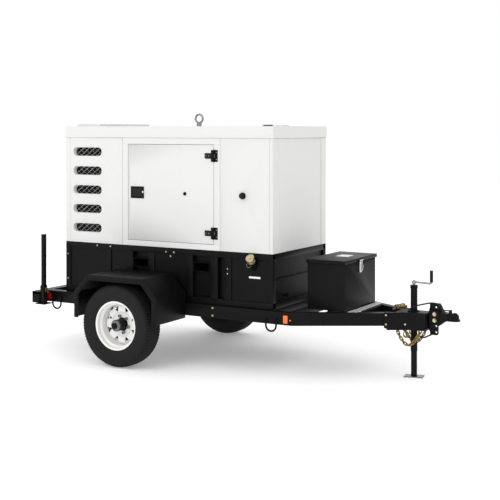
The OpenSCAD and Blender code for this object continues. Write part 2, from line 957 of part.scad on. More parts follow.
module toolbox_body() {
    wall = 3;
    z0 = rail_top + 4.5;
    color(black) {
        difference() {
            block([box_x0, -box_y, z0], [box_x1, box_y, box_z1 - 2]);
            block([box_x0 + wall, -box_y + wall, z0 + wall], [box_x1 - wall, box_y - wall, box_z1]);
        }
        for (y = lid_knuckles) {
            for (s = [-1, 1])
                translate([0, s * 32, 0]) {
                    block([lid_axis_x, y - 15, box_z1 - 6], [box_x0, y + 15, box_z1 - 2]);
                    rod_y(lid_axis_x, y - 15, y + 15, box_z1, 6);
                }
            rod_y(lid_axis_x, y - 47, y + 47, box_z1, 3);
        }
        for (y = [-150, 150])
            block([box_x0 + 20, y - 20, rail_top], [box_x1 - 20, y + 20, z0]);
        block([box_x1, -38, 800], [box_x1 + 5, -12, 822]);
    }
}

module toolbox_lid() {
    x0 = 697;
    x1 = 1041;
    y1 = 317;
    wall = 3;
    z0 = box_z1 + 1;
    z1 = 915;
    color(black) {
        difference() {
            block([x0, -y1, z0], [x1, y1, z1]);
            block([x0 + wall, -y1 + wall, z0 - 1], [x1 - wall, y1 - wall, z1 - wall]);
        }
        for (y = lid_knuckles)
            difference() {
                union() {
                    block([lid_axis_x + 3, y - 16, box_z1 + 1], [x0, y + 16, z1 - 6]);
                    rod_y(lid_axis_x, y - 16, y + 16, box_z1, 6);
                }
                rod_y(lid_axis_x, y - 17, y + 17, box_z1, 3 + fit);
            }
    }
    color("#c9ccd0") {
        block([x1, -75, 888], [x1 + 3, 25, 908]);
        for (y = [-70, 10])
            block([x1 + 3, y, 890], [x1 + 12, y + 10, 902]);
    }
}

// The chrome drop handle that hooks under its keeper on the box.
module toolbox_latch() {
    x = 1050;
    z = 896;
    color(steel) {
        difference() {
            union() {
                rod_y(x, -59.5, 9.5, z, 4);
                block([x - 2, -59, 800], [x + 2, 9, z]);
            }
            block([x - 3, -47, 812], [x + 3, -3, 872]);
        }
    }
}

// ---- tongue jack ----

module jack_tube() {
    color(black)
        difference() {
            union() {
                rod_z(jack_x, 0, 203, 718, 27);
                rod_z(jack_x, 0, rail_top + 6, rail_top + 14, 44);
                rod_z(jack_x, 0, 700, 724, 30);
            }
            rod_z(jack_x, 0, 200, 712, 24 + fit);
            rod_z(jack_x, 0, 700, 730, 9 + fit);
        }
}

module jack_leg() {
    color(black)
        difference() {
            rod_z(jack_x, 0, 5, 440, 24);
            rod_z(jack_x, 0, 20, 425, 20);
            rod_z(jack_x, 0, 420, 445, 9 + fit);
        }
    color("#9a9c9e")
        translate([jack_x, 0, 0])
            rotate(12)
                block([-75, -50, 0], [75, 50, 6]);
}

module jack_crank() {
    color(black) {
        rod_z(jack_x, 0, 240, 736, 9);
        rod_z(jack_x, 0, 727, 752, 17);
        rod_x(jack_x, jack_x + 146, 0, 744, 7);
        rod_z(jack_x + 145, 0, 737, 842, 7);
    }
}

module jack_grip() {
    color(black)
        difference() {
            rod_z(jack_x + 145, 0, 754, 846, 13);
            rod_z(jack_x + 145, 0, 753, 843, 7 + fit);
        }
}

// ---- rear stabilisers ----

module stabiliser_sleeves() {
    gap = 0.4;
    inner = stab_half + gap;
    out = inner + 5;
    z0 = 414;
    z1 = 566;
    color(black) both_sides() {
        difference() {
            block([stab_x - out, -stab_y - out, z0], [stab_x + out, -stab_y + out, z1]);
            block([stab_x - inner, -stab_y - inner, z0 - 1], [stab_x + inner, -stab_y + inner, z1 + 1]);
            rod_x(stab_x - out - 1, stab_x + out + 1, -stab_y, stab_pin_z, pin_r + fit);
        }
        for (z = [420, 490])
            block([stab_x - out, -stab_y + out, z], [stab_x + out, -rail_out, z + 8]);
    }
}

module stabiliser_leg_right() {
    half = stab_half;
    core = stab_half - 4;
    foot = 54;
    z0 = 408;
    z1 = 1020;
    color(black) {
        difference() {
            block([stab_x - half, -stab_y - half, z0], [stab_x + half, -stab_y + half, z1]);
            block([stab_x - core, -stab_y - core, z0 - 1], [stab_x + core, -stab_y + core, z1 - 4]);
            for (k = [0:6])
                rod_x(stab_x - half - 1, stab_x + half + 1, -stab_y, stab_pin_z + k * stab_pitch, pin_r + fit);
        }
        block([stab_x - foot, -stab_y - foot, z0 - 6], [stab_x + foot, -stab_y + foot, z0]);
    }
}

module stabiliser_leg_left() {
    mirror([0, 1, 0])
        stabiliser_leg_right();
}

module stabiliser_pin_right() {
    color(gold) {
        rod_x(stab_x - 40, stab_x + 40, -stab_y, stab_pin_z, pin_r);
        rod_x(stab_x + 26, stab_x + 31, -stab_y, stab_pin_z, 12);
        translate([stab_x + 35, -stab_y, stab_pin_z - 16])
            rotate([0, 0, 90])
                rotate([90, 0, 0])
                    rotate_extrude()
                        translate([16, 0])
                            circle(2.5, $fn = 16);
    }
}

module stabiliser_pin_left() {
    mirror([0, 1, 0])
        stabiliser_pin_right();
}

// ---- coupler ----

// The upright adjusting plate with its row of holes and the gussets to the nose.
module coupler_plate() {
    z0 = 344;
    z1 = 596;
    half = 9;
    color(black)
        difference() {
            union() {
                upright(-half, half)
                    translate([(plate_x0 + plate_x1) / 2, (z0 + z1) / 2])
                        round_rect(plate_x1 - plate_x0, z1 - z0, 14);
                upright(-half, half)
                    polygon([[1612.5, 400], [plate_x0 + 5, z0 + 14], [plate_x0 + 5, z1 - 14], [1612.5, 508]]);
                block([1612.5, -60, 395], [1620, 60, 512]);
            }
            for (k = [-2:2])
                rod_y(plate_bolt_x, -half - 1, half + 1, plate_z + k * adjust_pitch, 8.5);
        }
}

// Cast coupler: cheeks on the plate, a tapering neck and the round ball pocket.
module coupler_body() {
    ball_x = 1827;
    skirt = 470;
    color(black)
        difference() {
            union() {
                block([plate_x0 + 2, -42, plate_z - 24], [1712, 42, plate_z + 73]);
                upright(-36, 36)
                    polygon([[1705, plate_z + 70], [1782, 520], [1782, skirt], [1755, skirt - 12], [1725, skirt - 34], [1705, skirt - 50]]);
                upright(-20, 20)
                    polygon([[1690, plate_z + 73], [1700, 596], [1716, 580], [1736, 530], [1700, 520]]);
                translate([ball_x, 0, skirt - 4])
                    cylinder(r = 42.9, h = 14);
                block([1770, -42.9, skirt - 4], [ball_x, 42.9, skirt + 10]);
                rod_z(ball_x, 0, skirt, 497, 34);
                translate([ball_x, 0, 497])
                    difference() {
                        sphere(r = 34);
                        block([-40, -40, -40], [40, 40, 0]);
                    }
                block([1780, -30, skirt], [ball_x, 30, 512]);
                both_sides()
                    block([latch_x - 8, -17, 508], [latch_x + 8, -12, latch_z + 8]);
            }
            rod_y(latch_x, -18, 18, latch_z, 3 + fit);
            translate([ball_x, 0, 497])
                sphere(r = 26.5);
            rod_z(ball_x, 0, skirt - 10, 497, 26.5);
            block([1600, -9.4, 300], [plate_x1 + 0.5, 9.4, 610]);
            for (k = [0, 1])
                rod_y(plate_bolt_x, -70, 70, plate_z + k * adjust_pitch, 8.5);
        }
    color(gold)
        for (k = [0, 1]) {
            rod_y(plate_bolt_x, -50, 50, plate_z + k * adjust_pitch, 8);
            both_sides()
                translate([plate_bolt_x, -42, plate_z + k * adjust_pitch])
                    rotate([90, 0, 0])
                        cylinder(r = 14, h = 11, $fn = 6);
        }
}

// Lever of the ball clamp, on a pin between the two ears of the coupler.
module coupler_latch() {
    color(black) {
        block([1741, -11, latch_z], [latch_x, 11, latch_z + 6]);
        rod_y(latch_x, -11, 11, latch_z, 7);
        rod_y(latch_x, -17, 17, latch_z, 3);
    }
}

// ---- chains and cables ----

near_loop = [[1376, -64, 372], [1395, -70, 330], [1425, -74, 290], [1462, -78, 262], [1500, -76, 270],
             [1535, -72, 310], [1560, -66, 350], [1568, -58, 374]];
heap_loop = [[1335, -20, 530], [1350, -40, 548], [1380, -50, 560], [1410, -40, 552], [1425, -10, 545],
             [1410, 25, 548], [1375, 40, 552], [1345, 30, 540]];
upper_cable = [[1460, -50, 520], [1478, -56, 537], [1500, -60, 556], [1547, -62, 575], [1600, -62, 590],
               [1652, -62, 602], [1700, -60, 600], [1730, -54, 580], [1752, -44, 550], [1760, -38, 530]];
lower_cable = [[1545, -34, 376], [1549, -36, 340], [1565, -38, 326], [1594, -42, 325], [1625, -44, 340],
               [1650, -34, 352], [1660, -14, 356]];

module safety_chains() {
    color(gold) {
        both_sides()
            swept_tube(near_loop, 9, 3);
        swept_tube(heap_loop, 9, 3);
    }
}

module brake_cables() {
    color(black) {
        swept_tube(upper_cable, 5, 4);
        swept_tube(lower_cable, 5, 4);
    }
}

// ---- loose fasteners in groups ----

module fasteners() {
    color(gold) both_sides() {
        for (x = [-542, -463])
            bolt_y(x, -case_y, 918, 9);
        bolt_y(-502, -case_y + 8, 883, 9);
        for (p = [[-1272, 934], [-1127, 934], [-1600, 844], [-1600, 626]])
            bolt_y(p[0], -case_y, p[1], 8);
        for (z = [430, 492])
            bolt_y(-47, -rail_out, z, 10);
        for (p = [[63, 813], [63, 773]])
            bolt_y(p[0], -case_y, p[1], 7);
        translate([1322, -168, 0])
            rotate(tongue_angle)
                for (p = [[0, 497], [0, 424], [150, 424]])
                    bolt_y(p[0], -8.5, p[1], 9);
    }
}

frame_rails();
cross_members();
nose_housing();
step_grating();
base_frame();
base_panels();
fuel_tank();
corner_posts();
side_panels();
end_panels();
roof();
louvre_mesh();
lifting_eye();
panel_hardware();
fenders();
tie_down_rings();
amber_markers();
red_lamps();
axle_tube();
toolbox_body();
jack_tube();
stabiliser_sleeves();
safety_chains();
brake_cables();
engine_block();
alternator();
radiator();
exhaust_system();
battery();
control_panel();
fasteners();
door_right();
door_hardware_right();
door_paddle_right();
door_left();
door_hardware_left();
door_paddle_left();
fuel_cap();
stop_button();
torsion_arm_right();
torsion_arm_left();
hub_right();
hub_left();
rim_right();
rim_left();
tyre_right();
tyre_left();
toolbox_lid();
toolbox_latch();
jack_leg();
jack_crank();
jack_grip();
stabiliser_leg_right();
stabiliser_leg_left();
stabiliser_pin_right();
stabiliser_pin_left();
coupler_plate();
coupler_body();
coupler_latch();
crankshaft_and_fan();
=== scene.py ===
# %% [markdown]
# # A towable diesel generator
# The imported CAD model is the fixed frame: it says where every rail, door and wheel sits.
# This lesson gives each of its parts the finish of the real one, and makes in mesh code
# what a CAD solid can't show: tread, chain links, expanded metal and pressed lenses.

# %% Load the frame
import json
import math
import bmesh
import bpy
import numpy as np
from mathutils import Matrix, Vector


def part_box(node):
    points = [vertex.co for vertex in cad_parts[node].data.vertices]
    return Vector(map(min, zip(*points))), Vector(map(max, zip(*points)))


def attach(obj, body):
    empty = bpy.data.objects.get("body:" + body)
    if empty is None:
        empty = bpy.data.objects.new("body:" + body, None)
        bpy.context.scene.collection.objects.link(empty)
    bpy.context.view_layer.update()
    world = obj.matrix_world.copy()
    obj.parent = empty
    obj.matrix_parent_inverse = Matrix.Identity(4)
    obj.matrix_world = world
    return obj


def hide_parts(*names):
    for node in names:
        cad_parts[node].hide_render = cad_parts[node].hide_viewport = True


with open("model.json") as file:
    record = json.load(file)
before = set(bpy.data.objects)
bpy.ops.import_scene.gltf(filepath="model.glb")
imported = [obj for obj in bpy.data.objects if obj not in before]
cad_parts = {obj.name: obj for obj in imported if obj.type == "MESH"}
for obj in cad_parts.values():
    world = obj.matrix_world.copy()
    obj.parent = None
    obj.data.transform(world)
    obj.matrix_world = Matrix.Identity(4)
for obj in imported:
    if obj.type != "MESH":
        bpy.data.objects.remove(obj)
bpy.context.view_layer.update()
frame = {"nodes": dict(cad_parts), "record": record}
nodes = frame["nodes"]

# %% [markdown]
# Every position below is read from the frame: the wheels give the track, the door node
# gives the door. A few places that several pieces share are worked out here once.

# %% Shared places
MM = 0.001
case_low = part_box("side_panels")[0]
tyre_low, tyre_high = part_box("tyre_right")
tyre_r = (tyre_high.z - tyre_low.z) / 2
wheel_x = (tyre_low.x + tyre_high.x) / 2
wheel_z = (tyre_low.z + tyre_high.z) / 2
wheel_y = abs(tyre_low.y + tyre_high.y) / 2
sides = {"right": -1, "left": 1}
print("tyre radius", round(tyre_r, 4), "track", round(2 * wheel_y, 3))

# %% [markdown]
# ## Camera, light and floor
# A long lens from a standing person's eye height keeps the enclosure's uprights parallel.
# The camera looks level and the lens is shifted down, as an architect's camera does.

# %% Camera
LENS_MM = 77.2
CAMERA_AT = (4.582, -8.003, 1.953)
CAMERA_TURN = math.radians(29.81)
LENS_SHIFT = -0.241
camera_data = bpy.data.cameras.new("camera")
camera_data.lens = LENS_MM
camera_data.sensor_width = 36
camera_data.shift_y = LENS_SHIFT
camera = bpy.data.objects.new("camera", camera_data)
camera.location = CAMERA_AT
camera.rotation_euler = (math.pi / 2, 0, CAMERA_TURN)
bpy.context.scene.collection.objects.link(camera)
bpy.context.scene.camera = camera
print("camera at", CAMERA_AT)


# %% Soft light and a pale floor
def area_light(name, at, aim, size, power):
    """A square lamp at a point, turned to look at another point."""
    data = bpy.data.lights.new(name, "AREA")
    data.size = size
    data.energy = power
    lamp = bpy.data.objects.new(name, data)
    lamp.location = at
    way = np.array(aim) - np.array(at)
    flat = math.hypot(way[0], way[1])
    lamp.rotation_euler = (math.atan2(flat, -way[2]), 0, math.atan2(way[1], way[0]) - math.pi / 2)
    bpy.context.scene.collection.objects.link(lamp)
    return lamp


SKY = 1.0
area_light("key_light", (-2.0, -6.5, 4.5), (0, 0, 0.9), 4.0, 100)
area_light("front_light", (7.0, -2.5, 3.0), (0.8, 0, 0.6), 3.0, 12)
area_light("rim_light", (-5.0, 5.0, 3.5), (0, 0, 1.0), 3.0, 50)
world = bpy.data.worlds.new("studio")
bpy.context.scene.world = world
world.use_nodes = True
world.node_tree.nodes["Background"].inputs["Color"].default_value = (1, 1, 1, 1)
world.node_tree.nodes["Background"].inputs["Strength"].default_value = SKY
bpy.context.scene.view_settings.view_transform = "Standard"

# %% [markdown]
# ## Helpers for finishes
# A colour is given as a paint chart gives it, in sRGB hex, and turned to linear light
# once. One function adds any shader node with its settings and its links.


# %% Colour and node helpers
def colour(hex_code):
    """An sRGB hex colour as linear RGBA."""
    parts = [int(hex_code[i:i + 2], 16) / 255 for i in (1, 3, 5)]
    line = [c / 12.92 if c <= 0.04045 else ((c + 0.055) / 1.055) ** 2.4 for c in parts]
    return (*line, 1.0)


def add(tree, kind, settings=None, **inputs):
    """Adds a node. settings are its own attributes, or the stops of its colour ramp; inputs are
    values or other nodes' sockets, by name, or by number as in0 where a name is shared."""
    made = tree.nodes.new(kind)
    for key, value in (settings or {}).items():
        if key == "stops":
            line = made.color_ramp
            while len(line.elements) < len(value):
                line.elements.new(0.5)
            for element, (place, tint) in zip(line.elements, value):
                element.position = place
                element.color = colour(tint)
        else:
            setattr(made, key, value)
    for key, value in inputs.items():
        place = int(key[2:]) if key.startswith("in") and key[2:].isdigit() else key.replace("_", " ")
        if isinstance(value, bpy.types.NodeSocket):
            tree.links.new(value, made.inputs[place])
        else:
            made.inputs[place].default_value = value
    return made


def new_material(name):
    """An empty node material with its shader and a socket that gives Object coordinates."""
    made = bpy.data.materials.new(name)
    made.use_nodes = True
    tree = made.node_tree
    shader = tree.nodes["Principled BSDF"]
    where = add(tree, "ShaderNodeTexCoord").outputs["Object"]
    return made, tree, shader, where


print("black paint is", [round(c, 4) for c in colour("#1d1d1f")])

# %% [markdown]
# ## Powder coat
# The enclosure, skid and frame are sheet steel, sprayed with dry powder and baked. Powder
# melts into a skin with a fine ripple, called orange peel, about 2 mm from crest to crest.
# It is drawn here a little coarser, 3 mm, so that it breaks the highlights. Road dust
# settles as large soft clouds, and it gathers low down, so a height term adds to it.


# %% Powder coat
def powder_coat(name, paint, dust, rough, dust_low, dust_amount, shine=0.5):
    """Baked paint: base colour, a dust colour that fades in below a height, a fine ripple."""
    made, tree, shader, where = new_material(name)
    cloud = add(tree, "ShaderNodeTexNoise", Vector=where, Scale=3.5, Detail=6.0, Roughness=0.6)
    speck = add(tree, "ShaderNodeTexNoise", Vector=where, Scale=140.0, Detail=3.0)
    place = add(tree, "ShaderNodeSeparateXYZ", Vector=where)
    low = add(tree, "ShaderNodeMapRange", Value=place.outputs["Z"],
              From_Min=dust_low, From_Max=0.05, To_Min=0.15)
    times = {"operation": "MULTIPLY"}
    clouds = add(tree, "ShaderNodeMath", times, in0=cloud.outputs["Fac"], in1=low.outputs["Result"])
    specks = add(tree, "ShaderNodeMath", times, in0=clouds.outputs[0], in1=speck.outputs["Fac"])
    share = add(tree, "ShaderNodeMath", times, in0=specks.outputs[0], in1=4.0 * dust_amount)
    tint = add(tree, "ShaderNodeMix", {"data_type": "RGBA"}, in0=share.outputs[0],
               in6=colour(paint), in7=colour(dust))
    tree.links.new(tint.outputs[2], shader.inputs["Base Color"])
    gloss = add(tree, "ShaderNodeMapRange", Value=cloud.outputs["Fac"],
                To_Min=rough - 0.06, To_Max=rough + 0.10)
    tree.links.new(gloss.outputs["Result"], shader.inputs["Roughness"])
    shader.inputs["Specular IOR Level"].default_value = shine
    ripple = add(tree, "ShaderNodeTexNoise", Vector=where, Scale=330.0, Detail=2.0)
    bump = add(tree, "ShaderNodeBump", Height=ripple.outputs["Fac"], Strength=0.12, Distance=0.0006)
    tree.links.new(bump.outputs["Normal"], shader.inputs["Normal"])
    return made


white_coat = powder_coat("white_powder_coat", "#dbdbd9", "#cfccc6", 0.42, 2.0, 0.12, 0.4)
black_coat = powder_coat("black_powder_coat", "#0a0a0b", "#24211e", 0.40, 0.9, 0.14, 0.11)
wheel_enamel = powder_coat("white_wheel_enamel", "#f1f1ef", "#b9b2a6", 0.28, 0.7, 0.16)
engine_enamel = powder_coat("green_engine_enamel", "#2f4a3b", "#1b1d1a", 0.42, 2.0, 0.35)
machine_enamel = powder_coat("grey_machine_enamel", "#43474d", "#22242a", 0.45, 2.0, 0.30)
cabinet_enamel = powder_coat("light_cabinet_enamel", "#c4c7ca", "#9a9a98", 0.40, 2.0, 0.20)
print("powder coats:", len(bpy.data.materials))

# %% [markdown]
# ## Plated, bare and cast metal
# Bolts and chains are zinc plated. The yellow ones were dipped in chromate, which leaves
# a thin film that shifts from gold to rose and green, so two hues are mixed by noise.
# Bare galvanised steel has a spangle, and brushed chrome has almost no texture at all.


# %% Metals
def plated_metal(name, stops, scale, rough_low, rough_high, ripple, bare=1.0):
    """Metal whose hue follows a noise through colour stops, with an uneven gloss. bare is the
    share that is clean metal; a chalky oxide bloom takes the rest."""
    made, tree, shader, where = new_material(name)
    film = add(tree, "ShaderNodeTexNoise", Vector=where, Scale=scale, Detail=4.0)
    tint = add(tree, "ShaderNodeValToRGB", {"stops": stops}, Fac=film.outputs["Fac"])
    tree.links.new(tint.outputs["Color"], shader.inputs["Base Color"])
    shader.inputs["Metallic"].default_value = bare
    gloss = add(tree, "ShaderNodeMapRange", Value=film.outputs["Fac"], To_Min=rough_low, To_Max=rough_high)
    tree.links.new(gloss.outputs["Result"], shader.inputs["Roughness"])
    grain = add(tree, "ShaderNodeTexNoise", Vector=where, Scale=scale * 9, Detail=2.0)
    bump = add(tree, "ShaderNodeBump", Height=grain.outputs["Fac"], Strength=ripple, Distance=0.0004)
    tree.links.new(bump.outputs["Normal"], shader.inputs["Normal"])
    return made


yellow_zinc = plated_metal("yellow_chromated_zinc", [(0.3, "#6b5730"), (0.5, "#a3894f"), (0.7, "#574730")],
                           60, 0.28, 0.5, 0.15)
pale_zinc = plated_metal("pale_chromated_zinc", [(0.3, "#b8a882"), (0.5, "#d2c6a4"), (0.7, "#a3957a")],
                         70, 0.25, 0.45, 0.12)
bright_zinc = plated_metal("bright_zinc_plate", [(0.3, "#7c8083"), (0.7, "#a3a7aa")], 45, 0.3, 0.5, 0.15)
aluminium = plated_metal("bright_aluminium_plate", [(0.3, "#b9bcbe"), (0.7, "#dcdedf")],
                         35, 0.25, 0.4, 0.1, 0.35)
galvanised = plated_metal("galvanised_steel", [(0.35, "#b4b8ba"), (0.5, "#d4d7d8"), (0.65, "#a5aaac")],
                          90, 0.4, 0.6, 0.2, 0.3)
chrome = plated_metal("chromed_steel", [(0.2, "#d4d6d8"), (0.8, "#e2e3e4")], 30, 0.05, 0.14, 0.03)
machined = plated_metal("machined_steel", [(0.3, "#8a8c8e"), (0.7, "#a5a7a9")], 25, 0.25, 0.4, 0.1)
tinted_steel = plated_metal("heat_tinted_steel", [(0.25, "#5f5147"), (0.5, "#7d6c5c"), (0.75, "#4d4a4e")],
                            12, 0.45, 0.65, 0.3)
print("metals made, materials now", len(bpy.data.materials))

# %% [markdown]
# ## Rubber and moulded plastic
# Tyre rubber is nearly black but dull, with a grey bloom on the sidewall and dust in the
# grooves. Plastics carry a fine spark-eroded grain from their moulds. A lens is clear
# tinted acrylic; no light passes through it here, and a smooth surface and a faint painted glow in its tint
# stand in for that light.


# %% Rubber and plastic
def moulded(name, tone, bloom, rough, grain_scale, grain_depth, bloom_share=0.35):
    """A moulded skin: a bloom of paler colour in clouds, and a fine grain."""
    made, tree, shader, where = new_material(name)
    cloud = add(tree, "ShaderNodeTexNoise", Vector=where, Scale=14.0, Detail=7.0, Roughness=0.65)
    share = add(tree, "ShaderNodeMath", {"operation": "MULTIPLY"},
                in0=cloud.outputs["Fac"], in1=bloom_share)
    tint = add(tree, "ShaderNodeMix", {"data_type": "RGBA"}, in0=share.outputs[0],
               in6=colour(tone), in7=colour(bloom))
    tree.links.new(tint.outputs[2], shader.inputs["Base Color"])
    shader.inputs["Roughness"].default_value = rough
    shader.inputs["Specular IOR Level"].default_value = 0.2
    grain = add(tree, "ShaderNodeTexNoise", Vector=where, Scale=grain_scale, Detail=3.0)
    bump = add(tree, "ShaderNodeBump", Height=grain.outputs["Fac"], Strength=grain_depth, Distance=0.0005)
    tree.links.new(bump.outputs["Normal"], shader.inputs["Normal"])
    return made


def lens_plastic(name, tint, deep):
    """Tinted acrylic: a clear coat over a coloured body with prisms, and a faint painted glow in the tint
    that stands in for light passing through the lens.
    """
    made, tree, shader, where = new_material(name)
    prism = add(tree, "ShaderNodeTexWave", {"bands_direction": "Z"}, Vector=where, Scale=70.0)
    shade = add(tree, "ShaderNodeValToRGB", {"stops": [(0.0, deep), (1.0, tint)]}, Fac=prism.outputs["Fac"])
    tree.links.new(shade.outputs["Color"], shader.inputs["Base Color"])
    shader.inputs["Roughness"].default_value = 0.12
    shader.inputs["IOR"].default_value = 1.49
    shader.inputs["Coat Weight"].default_value = 0.6
    # painted glow: a faint emission in the lens tint stands in for light that would pass through the lens
    shader.inputs["Emission Color"].default_value = colour(tint)
    shader.inputs["Emission Strength"].default_value = 0.12
    return made


tyre_rubber = moulded("tyre_rubber", "#0e0e0f", "#2a2928", 0.66, 420.0, 0.35)
cable_jacket = moulded("cable_jacket_rubber", "#0f0f10", "#232324", 0.5, 300.0, 0.2)
grip_plastic = moulded("textured_black_plastic", "#0f0f10", "#232324", 0.48, 500.0, 0.3)
foam = moulded("acoustic_foam", "#0b0b0c", "#1a1a1b", 0.95, 160.0, 1.0)
label_vinyl = moulded("white_label_vinyl", "#f0efe9", "#dcdad2", 0.35, 300.0, 0.05)
amber_lens = lens_plastic("amber_acrylic_lens", "#ff7a12", "#c84a00")
red_lens = lens_plastic("red_acrylic_lens", "#d3121a", "#7a0409")
print("soft and clear finishes made, materials now", len(bpy.data.materials))

# %% [markdown]
# ## Dressing the carried-over CAD nodes
# A CAD node whose shape is right stays as it is and only gets its finish. The list below
# pairs each finish with the nodes that wear it.

# %% Finishes for the CAD nodes
finish_of = {
    white_coat: ["corner_posts", "side_panels", "end_panels", "roof", "door_right", "door_left"],
    wheel_enamel: ["rim_right", "rim_left"],
    yellow_zinc: ["fuel_cap", "fasteners", "safety_chains", "stabiliser_pin_right", "stabiliser_pin_left"],
    bright_zinc: ["lifting_eye", "jack_crank"],
    galvanised: ["louvre_mesh"],
    aluminium: ["step_grating"],
    chrome: ["toolbox_latch"],
    machined: ["crankshaft_and_fan"],
    tinted_steel: ["exhaust_system"],
    engine_enamel: ["engine_block"],
    machine_enamel: ["alternator"],
    cabinet_enamel: ["control_panel"],
    tyre_rubber: ["tyre_right", "tyre_left"],
    cable_jacket: ["brake_cables"],
    grip_plastic: ["stop_button", "jack_grip", "door_paddle_right", "door_paddle_left", "battery"],
    amber_lens: ["amber_markers"],
    red_lens: ["red_lamps"],
}
worn = {name: made for made, names in finish_of.items() for name in names}


def dress(obj, made):
    """Gives an object one material."""
    obj.data.materials.clear()
    obj.data.materials.append(made)


for name, obj in nodes.items():
    dress(obj, worn.get(name, black_coat))
print("dressed", len(nodes), "nodes")

# %% [markdown]
# ## Helpers for shapes
# A new piece is a surface worked out as a whole array: a grid of points with one
# direction along a path or round an axis, and the other along a profile. The helper
# joins neighbours into four-sided faces, closes the ends, and turns the faces outwards.


# %% Surface helpers
def grid_faces(n, m, wrap_n, wrap_m, start=0):
    """Corner numbers of the four-sided faces of an n by m grid of points."""
    i = np.arange(n if wrap_n else n - 1)[:, None]
    j = np.arange(m if wrap_m else m - 1)[None, :]
    i2, j2 = (i + 1) % n, (j + 1) % m
    quads = np.stack([i * m + j, i2 * m + j, i2 * m + j2, i * m + j2], -1)
    return quads.reshape(-1, 4) + start


def piece(name, points, faces, body, finish, slot, smooth=True):
    """Makes an object from points and faces, merges doubles, turns faces outwards, and rides it."""
    mesh = bpy.data.meshes.new(name)
    mesh.from_pydata(np.asarray(points).reshape(-1, 3).tolist(), [], [list(map(int, f)) for f in faces])
    work = bmesh.new()
    work.from_mesh(mesh)
    bmesh.ops.remove_doubles(work, verts=work.verts, dist=1e-6)
    bmesh.ops.recalc_face_normals(work, faces=work.faces)
    for face in work.faces:
        face.smooth = smooth
    for edge in work.edges:
        if len(edge.link_faces) == 2 and edge.calc_face_angle(0) > math.radians(38):
            edge.smooth = False
    work.to_mesh(mesh)
    work.free()
    made = bpy.data.objects.new(name, mesh)
    bpy.context.scene.collection.objects.link(made)
    dress(made, finish)
    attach(made, body)
    return made


def strips(grids, wrap_n, wrap_m, caps):
    """Points and faces of many grids of one size; caps close the two ends of each."""
    grids = np.asarray(grids)
    count, n, m, _ = grids.shape
    one = grid_faces(n, m, wrap_n, wrap_m)
    faces = [list(f) for k in range(count) for f in one + k * n * m]
    if caps:
        for k in range(count):
            first = k * n * m
            faces.append(list(range(first + m - 1, first - 1, -1)))
            faces.append(list(range(first + (n - 1) * m, first + n * m)))
    return grids.reshape(-1, 3), faces


def smooth_route(points, per_span):
    """Catmull-Rom curve through chosen points: each span blends its four nearest points."""
    p = np.asarray(points, float)
    p = np.vstack([p[:1], p, p[-1:]])
    t = np.linspace(0, 1, per_span, endpoint=False)[:, None]
    a, b, c, d = (p[k:len(p) - 3 + k, None, :] for k in range(4))
    curve = 0.5 * (2 * b + (c - a) * t + (2 * a - 5 * b + 4 * c - d) * t ** 2
                   + (3 * b - 3 * c + d - a) * t ** 3)
    return np.vstack([curve.reshape(-1, 3), p[-1:]])


def evenly(route, step):
    """Points a fixed step apart along a route."""
    far = np.r_[0, np.cumsum(np.linalg.norm(np.diff(route, axis=0), axis=1))]
    at = np.arange(0, far[-1], step)
    return np.stack([np.interp(at, far, route[:, k]) for k in range(3)], -1)


def frames(route, never=(0.0, 1.0, 0.0)):
    """Unit tangent and two cross directions at each point of a route. The route may run in
    any direction except along the axis named, which keeps the cross directions steady."""
    t = np.gradient(route, axis=0)
    t /= np.linalg.norm(t, axis=1)[:, None]
    u = np.cross(t, never)
    u /= np.linalg.norm(u, axis=1)[:, None]
    return t, u, np.cross(t, u)


def tube(route, radius, sides, never=(0.0, 1.0, 0.0)):
    """A round tube: at each point of the route a circle lies in its cross plane. The radius may
    be one number, or one for each point, which tapers the tube."""
    t, u, w = frames(route, never)
    radius = np.broadcast_to(np.asarray(radius, float), len(route))[:, None, None]
    a = np.linspace(0, 2 * np.pi, sides, endpoint=False)
    circle = np.cos(a)[None, :, None] * u[:, None, :] + np.sin(a)[None, :, None] * w[:, None, :]
    return route[:, None, :] + radius * circle


def bent(points, radius, steps=7):
    """A route of straight runs whose corners are eased: each corner C between A and B, a bend
    radius away, becomes the curve (1-t)^2 A + 2t(1-t) C + t^2 B."""
    p = np.asarray(points, float)
    out = [p[:1]]
    t = np.linspace(0, 1, steps)[:, None]
    for before, corner, after in zip(p[:-2], p[1:-1], p[2:]):
        a = corner + radius * (before - corner) / np.linalg.norm(before - corner)
        b = corner + radius * (after - corner) / np.linalg.norm(after - corner)
        out.append((1 - t) ** 2 * a + 2 * t * (1 - t) * corner + t ** 2 * b)
    return np.vstack(out + [p[-1:]])


def turned(profile, at, axis, steps, shape=None):
    """Turns (radius, height) points round any axis; shape(a) scales the radius at angle a."""
    profile = np.asarray(profile, float)
    axis = np.asarray(axis, float) / np.linalg.norm(axis)
    u = np.cross(axis, [0.0, 1.0, 0.0] if abs(axis[1]) < 0.9 else [1.0, 0.0, 0.0])
    u /= np.linalg.norm(u)
    w = np.cross(axis, u)
    a = np.linspace(0, 2 * np.pi, steps, endpoint=False)
    scale = shape(a)[:, None, None] if shape else 1.0
    around = (np.cos(a)[:, None] * u + np.sin(a)[:, None] * w)[:, None, :]
    return np.asarray(at, float) + profile[None, :, :1] * scale * around + profile[None, :, 1:] * axis


def pillow(low, high, power=6.0, n=20):
    """A superellipsoid |x/a|^p + |y/b|^p + |z/c|^p = 1 that fills a box: a block with soft corners."""
    low, high = np.asarray(low, float), np.asarray(high, float)
    v, u = np.meshgrid(np.linspace(-np.pi / 2, np.pi / 2, n),
                       np.linspace(0, 2 * np.pi, 2 * n, endpoint=False))
    way = np.stack([np.cos(v) * np.cos(u), np.cos(v) * np.sin(u), np.sin(v)], -1)
    way /= (np.abs(way) ** power).sum(-1, keepdims=True) ** (1 / power)
    return (low + high) / 2 + way * (high - low) / 2


